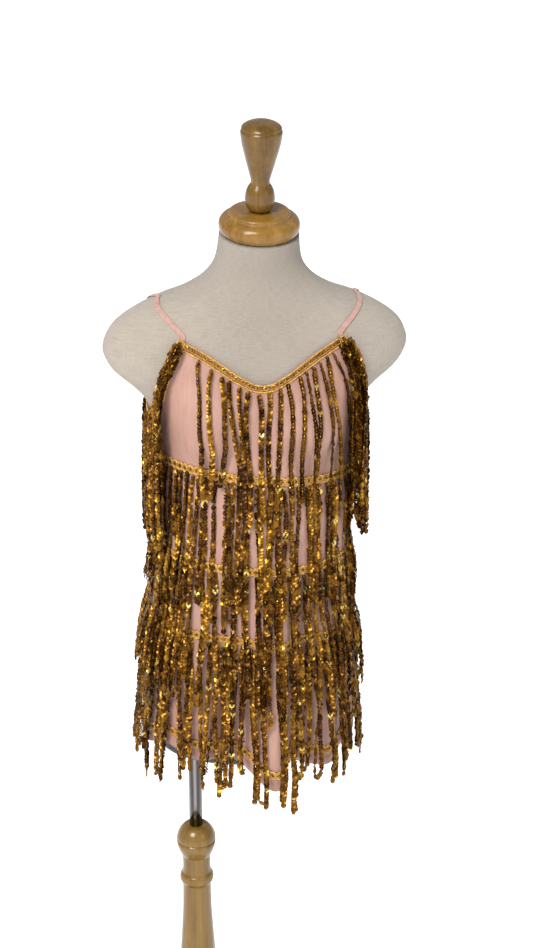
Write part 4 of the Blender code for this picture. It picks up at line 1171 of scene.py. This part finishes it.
class Look:
    """A material with short words for making and joining its nodes."""

    def __init__(self, name):
        self.material = bpy.data.materials.new(name)
        self.material.use_nodes = True
        self.tree = self.material.node_tree
        self.shader = self.tree.nodes["Principled BSDF"]
        spots = self.node("TexCoord").outputs
        self.spot, self.uv = spots["Object"], spots["UV"]

    def node(self, kind, **inputs):
        made = self.tree.nodes.new("ShaderNode" + kind)
        for label, value in inputs.items():
            self.feed(made, label.replace("_", " "), value)
        return made

    def feed(self, target, label, value):
        if isinstance(value, bpy.types.NodeSocket):
            self.tree.links.new(value, target.inputs[label])
        else:
            target.inputs[label].default_value = value

    def math(self, operation, *values):
        made = self.node("Math")
        made.operation = operation
        for index, value in enumerate(values):
            self.feed(made, index, value)
        return made.outputs[0]

    def sum(self, first, share, second, other=None):
        """One value times its share, plus a second one, times its own share if given."""
        if other is not None:
            second = self.math("MULTIPLY", second, other)
        return self.math("ADD", self.math("MULTIPLY", first, share), second)

    def wave(self, value, pitch, shift=None):
        turns = self.math("MULTIPLY", value, 2 * pi / pitch)
        return self.math("SINE", turns if shift is None else self.math("ADD", turns, shift))

    def axes(self, vector):
        return self.node("SeparateXYZ", Vector=vector).outputs

    def noise(self, vector, scale, detail, **more):
        """Noise; a scale of three numbers stretches it along the axes."""
        if isinstance(scale, tuple):
            vector, scale = self.node("Mapping", Vector=vector, Scale=scale).outputs["Vector"], 1.0
        made = self.node("TexNoise", Vector=vector, Scale=scale, Detail=detail, **more)
        return made.outputs["Fac"]

    def ramp(self, fac, stops):
        made = self.node("ValToRGB", Fac=fac)
        elements = made.color_ramp.elements
        while len(elements) < len(stops):
            elements.new(0.5)
        for element, (spot, colour) in zip(elements, stops):
            element.position = spot
            element.color = (*colour, 1.0)
        return made.outputs["Color"]

    def mix(self, fac, first, second, kind="MIX"):
        made = self.node("Mix")
        made.data_type = "RGBA"
        made.blend_type = kind
        for index, value in ((0, fac), (6, first), (7, second)):
            self.feed(made, index, value)
        return made.outputs[2]

    def bump(self, height, distance, strength, under=None):
        made = self.node("Bump", Height=height, Distance=distance, Strength=strength)
        if under is not None:
            self.feed(made, "Normal", under)
        return made.outputs["Normal"]

    def done(self, colour, roughness, relief=None, **others):
        """Join colour, roughness and relief to the shader and set its other values."""
        self.feed(self.shader, "Base Color", colour)
        self.feed(self.shader, "Roughness", roughness)
        if relief is not None:
            self.feed(self.shader, "Normal", relief)
        for label, value in others.items():
            self.feed(self.shader, label.replace("_", " "), value)
        return self.material


WALE_PITCH, ROW_PITCH = 0.00085, 0.00065
RIB_PITCH = 0.0010
LINEN_PITCH = 0.00095
CORD_PITCH = 0.0018
FORM_DARK_BAND = 0.016
WHITE = (1.0, 1.0, 1.0)


def satin_look():
    """Stretch satin knit: upright wales, faint rows and a soft sheen."""
    look = Look("pink_satin_knit")
    part = look.axes(look.uv)
    knit = look.sum(look.wave(part["Y"], ROW_PITCH), 0.4, look.wave(part["X"], WALE_PITCH))
    knit = look.math("MULTIPLY", knit, 0.5)
    soft = look.noise(look.spot, 18.0, 4.0)
    streak = look.noise(look.uv, (420.0, 26.0, 1.0), 3.0)
    fleck = look.noise(look.spot, 900.0, 2.0)
    colour = look.ramp(look.sum(soft, 0.55, streak, 0.45), [
        (0.30, (0.390, 0.205, 0.158)), (0.50, (0.460, 0.262, 0.203)), (0.72, (0.525, 0.320, 0.252))])
    dip = look.ramp(knit, [(0.0, (0.90, 0.86, 0.85)), (0.5, WHITE)])
    relief = look.bump(streak, 0.0008, 0.35, look.bump(knit, 0.00012, 0.7))
    return look.done(look.mix(0.6, colour, dip, "MULTIPLY"), look.sum(fleck, 0.16, 0.42),
                     look.bump(soft, 0.0030, 0.30, relief), Sheen_Weight=0.18,
                     Sheen_Roughness=0.4, Sheen_Tint=(1.0, 0.86, 0.82, 1.0),
                     Specular_IOR_Level=0.45, Anisotropic=0.3)


def strap_look():
    look = Look("pink_strap")
    ribs = look.wave(look.axes(look.uv)["X"], RIB_PITCH)
    soft = look.noise(look.spot, 140.0, 4.0)
    colour = look.ramp(soft, [(0.3, (0.52, 0.28, 0.235)), (0.7, (0.66, 0.40, 0.335))])
    return look.done(colour, 0.55, look.bump(ribs, 0.00018, 0.8),
                     Sheen_Weight=0.3, Sheen_Roughness=0.4)


def linen_look():
    """Plain woven linen with uneven threads, and a darker colour over a narrow band at the form's
    lower edge.
    """
    look = Look("linen_cover")
    part = look.axes(look.uv)
    bend = look.math("MULTIPLY", look.noise(look.spot, 60.0, 2.0), 1.6)
    weave = look.math("MULTIPLY", look.wave(part["X"], LINEN_PITCH, bend),
                      look.wave(part["Y"], LINEN_PITCH, bend))
    slubs = look.sum(look.noise(look.uv, (60.0, 1100.0, 1.0), 3.0), 0.6,
                     look.noise(look.uv, (1100.0, 60.0, 1.0), 3.0), 0.4)
    colour = look.ramp(look.sum(slubs, 0.75, look.noise(look.spot, 9.0, 5.0), 0.25), [
        (0.28, (0.330, 0.280, 0.230)), (0.50, (0.450, 0.392, 0.328)), (0.70, (0.545, 0.482, 0.410))])
    holes = look.ramp(weave, [(0.0, (0.88, 0.87, 0.86)), (0.55, WHITE)])
    colour = look.mix(0.55, colour, holes, "MULTIPLY")
    # a dark grey colour over a narrow band at the form's lower edge
    dark_band_mask = look.math("LESS_THAN", look.axes(look.spot)["Z"], FORM_BOTTOM + FORM_DARK_BAND)
    dark = look.ramp(slubs, [(0.3, (0.075, 0.075, 0.080)), (0.7, (0.130, 0.130, 0.135))])
    return look.done(look.mix(dark_band_mask, colour, dark), 0.88,
                     look.bump(slubs, 0.0006, 0.6, look.bump(weave, 0.00022, 0.8)),
                     Sheen_Weight=0.15, Sheen_Roughness=0.6, Specular_IOR_Level=0.25)


def wood_look(name, light, middle, dark):
    """Varnished turned wood with fine upright grain."""
    look = Look(name)
    fine = look.noise(look.spot, (260.0, 260.0, 9.0), 6.0, Roughness=0.6)
    broad = look.noise(look.spot, (55.0, 55.0, 3.5), 3.0, Distortion=0.6)
    colour = look.ramp(look.sum(fine, 0.45, broad, 0.55),
                       [(0.32, dark), (0.50, middle), (0.68, light)])
    smear = look.noise(look.spot, 40.0, 3.0)
    return look.done(colour, look.sum(smear, 0.14, 0.20), look.bump(fine, 0.00015, 0.35),
                     Coat_Weight=0.25, Coat_Roughness=0.10, Specular_IOR_Level=0.3)


def steel_look():
    look = Look("chromed_steel")
    fine = look.noise(look.spot, (900.0, 900.0, 30.0), 3.0)
    around = look.axes(look.uv)["X"]
    # light and dark upright bands round the pole are a painted reflection
    painted_reflection_bands = look.math("ADD", look.wave(around, 1 / 7), look.wave(around, 1 / 3))
    colour = look.ramp(look.sum(painted_reflection_bands, 0.25, fine, 0.30), [
        (0.0, (0.070, 0.064, 0.060)), (0.30, (0.13, 0.120, 0.115)), (0.55, (0.26, 0.25, 0.245))])
    return look.done(colour, look.sum(fine, 0.10, 0.06), look.bump(fine, 0.00003, 0.3),
                     Metallic=1.0)


def sequin_look():
    """Gold foil discs; the tone of each one runs from near black over olive and amber to
    bright yellow, with a few green and orange glints."""
    look = Look("gold_sequin")
    tone = look.node("Attribute")
    tone.attribute_name = "tone"
    fine = look.noise(look.spot, 700.0, 2.0)
    mixed = look.sum(look.math("SUBTRACT", fine, 0.5), 0.12, tone.outputs["Fac"])
    # the stops at 0.965 and 0.99 are the colours of the painted glints
    colour = look.ramp(mixed, [
        (0.00, (0.016, 0.006, 0.001)), (0.20, (0.106, 0.039, 0.004)), (0.42, (0.250, 0.107, 0.009)),
        (0.62, (0.390, 0.190, 0.016)), (0.80, (0.640, 0.350, 0.034)), (0.94, (1.000, 0.760, 0.200)),
        (0.965, (0.060, 0.480, 0.260)), (0.99, (0.850, 0.260, 0.050))])
    return look.done(colour, look.sum(fine, 0.22, 0.24), look.bump(fine, 0.0002, 0.25),
                     Metallic=0.80, Specular_IOR_Level=0.5)


def band_look():
    look = Look("braid_band")
    fine = look.node("Mapping", Vector=look.uv, Scale=(900.0, 900.0, 1.0)).outputs["Vector"]
    net = look.node("TexVoronoi", Vector=fine, Scale=1.0).outputs["Distance"]
    colour = look.ramp(look.noise(look.spot, 260.0, 3.0), [
        (0.3, (0.11, 0.042, 0.010)), (0.6, (0.25, 0.110, 0.028)), (0.8, (0.42, 0.22, 0.070))])
    return look.done(colour, 0.5, look.bump(net, 0.0004, 0.8), Metallic=0.35, Sheen_Weight=0.1)


def cord_look():
    """Twisted metallic cord and thread."""
    look = Look("gold_cord")
    part = look.axes(look.uv)
    twist = look.wave(look.sum(part["Y"], 0.45, part["X"]), CORD_PITCH)
    level = look.sum(twist, 0.18, look.noise(look.spot, 220.0, 3.0))
    colour = look.ramp(level, [(0.30, (0.50, 0.22, 0.040)), (0.52, (0.92, 0.50, 0.12)),
                               (0.75, (1.00, 0.70, 0.26))])
    return look.done(colour, 0.34, look.bump(twist, 0.0003, 0.8), Metallic=0.35)


def floor_look():
    look = Look("pale_floor")
    colour = look.ramp(look.noise(look.spot, 2.0, 2.0), [(0.3, (0.93,) * 3), (0.7, (0.94,) * 3)])
    return look.done(colour, 0.9, Specular_IOR_Level=0.1, Emission_Color=(*WHITE, 1.0),
                     Emission_Strength=0.50)


# Light, floor and camera

FLOOR_HALF = 60.0
SKY_COLOUR = (0.97, 0.98, 1.0, 1.0)
SKY_POWER = 0.46
SUN_POWER = 2.15
SUN_WIDE = radians(24)
SUN_TURN = (radians(44), 0.0, radians(-24))
CAMERA_PLACE = (0.103, -2.023, 1.68)
CAMERA_TILT = radians(70.0)
CAMERA_LENS = 60.8
CAMERA_SENSOR = 36.0


def add_to_scene(name, data):
    made = bpy.data.objects.new(name, data)
    bpy.context.scene.collection.objects.link(made)
    return made


def area_light(name, spot, aim, size, power, colour):
    data = bpy.data.lights.new(name, "AREA")
    data.shape = "RECTANGLE"
    data.size = data.size_y = size
    data.energy = power
    data.color = colour
    lamp = add_to_scene(name, data)
    lamp.location = spot
    lamp.rotation_mode = "QUATERNION"
    lamp.rotation_quaternion = (Vector(aim) - Vector(spot)).to_track_quat("-Z", "Y")


def build_setting():
    mesh = bpy.data.meshes.new("Floor")
    half = FLOOR_HALF
    corners = [(-half, -half, 0), (half, -half, 0), (half, half, 0), (-half, half, 0)]
    mesh.from_pydata(corners, [], [(0, 1, 2, 3)])
    mesh.materials.append(floor_look())
    add_to_scene("Floor", mesh)
    world = bpy.data.worlds.new("World")
    bpy.context.scene.world = world
    world.use_nodes = True
    sky = world.node_tree.nodes["Background"].inputs
    sky["Color"].default_value = SKY_COLOUR
    sky["Strength"].default_value = SKY_POWER
    sun = bpy.data.lights.new("Sky", "SUN")
    sun.energy = SUN_POWER
    sun.angle = SUN_WIDE
    add_to_scene("Sky", sun).rotation_euler = SUN_TURN
    area_light("Key", (-1.1, -1.9, 2.5), (0.08, 0.0, 0.95), 0.7, 22, (1.0, 0.97, 0.93))
    area_light("Fill", (2.0, -1.6, 1.6), (0.08, 0.0, 0.9), 1.0, 5, (0.95, 0.97, 1.0))
    bpy.context.scene.view_settings.view_transform = "Standard"
    data = bpy.data.cameras.new("Camera")
    data.lens = CAMERA_LENS
    data.sensor_width = CAMERA_SENSOR
    camera = add_to_scene("Camera", data)
    camera.location = CAMERA_PLACE
    camera.rotation_euler = (CAMERA_TILT, 0.0, 0.0)
    bpy.context.scene.camera = camera


def main():
    satin = satin_look()
    build_panel("Dress_Front", "dress_front", 0.0, FRONT_CORNER, satin)
    build_panel("Dress_Back", "dress_back", pi, BACK_CORNER, satin)
    strap = strap_look()
    build_strap("Strap_Left", "strap_left", -1, strap)
    build_strap("Strap_Right", "strap_right", 1, strap)
    build_stitches(strap)
    build_form(linen_look())
    cap = wood_look("cap_wood", (0.340, 0.185, 0.034), (0.250, 0.126, 0.021), (0.150, 0.066, 0.010))
    # the finial takes the cap's wood painted darker: painted shade, not another wood
    top = wood_look("finial_wood_painted_shade", (0.215, 0.118, 0.022), (0.150, 0.077, 0.013),
                    (0.085, 0.040, 0.006))
    post = wood_look("post_wood", (0.260, 0.156, 0.035), (0.200, 0.113, 0.023),
                     (0.120, 0.060, 0.011))
    build_stand(cap, top, post, steel_look())
    gold = [sequin_look(), band_look(), cord_look()]
    stack = Stack()
    build_hem(stack, gold)
    build_rings(stack, gold)
    build_edges(stack, gold)
    build_setting()


main()
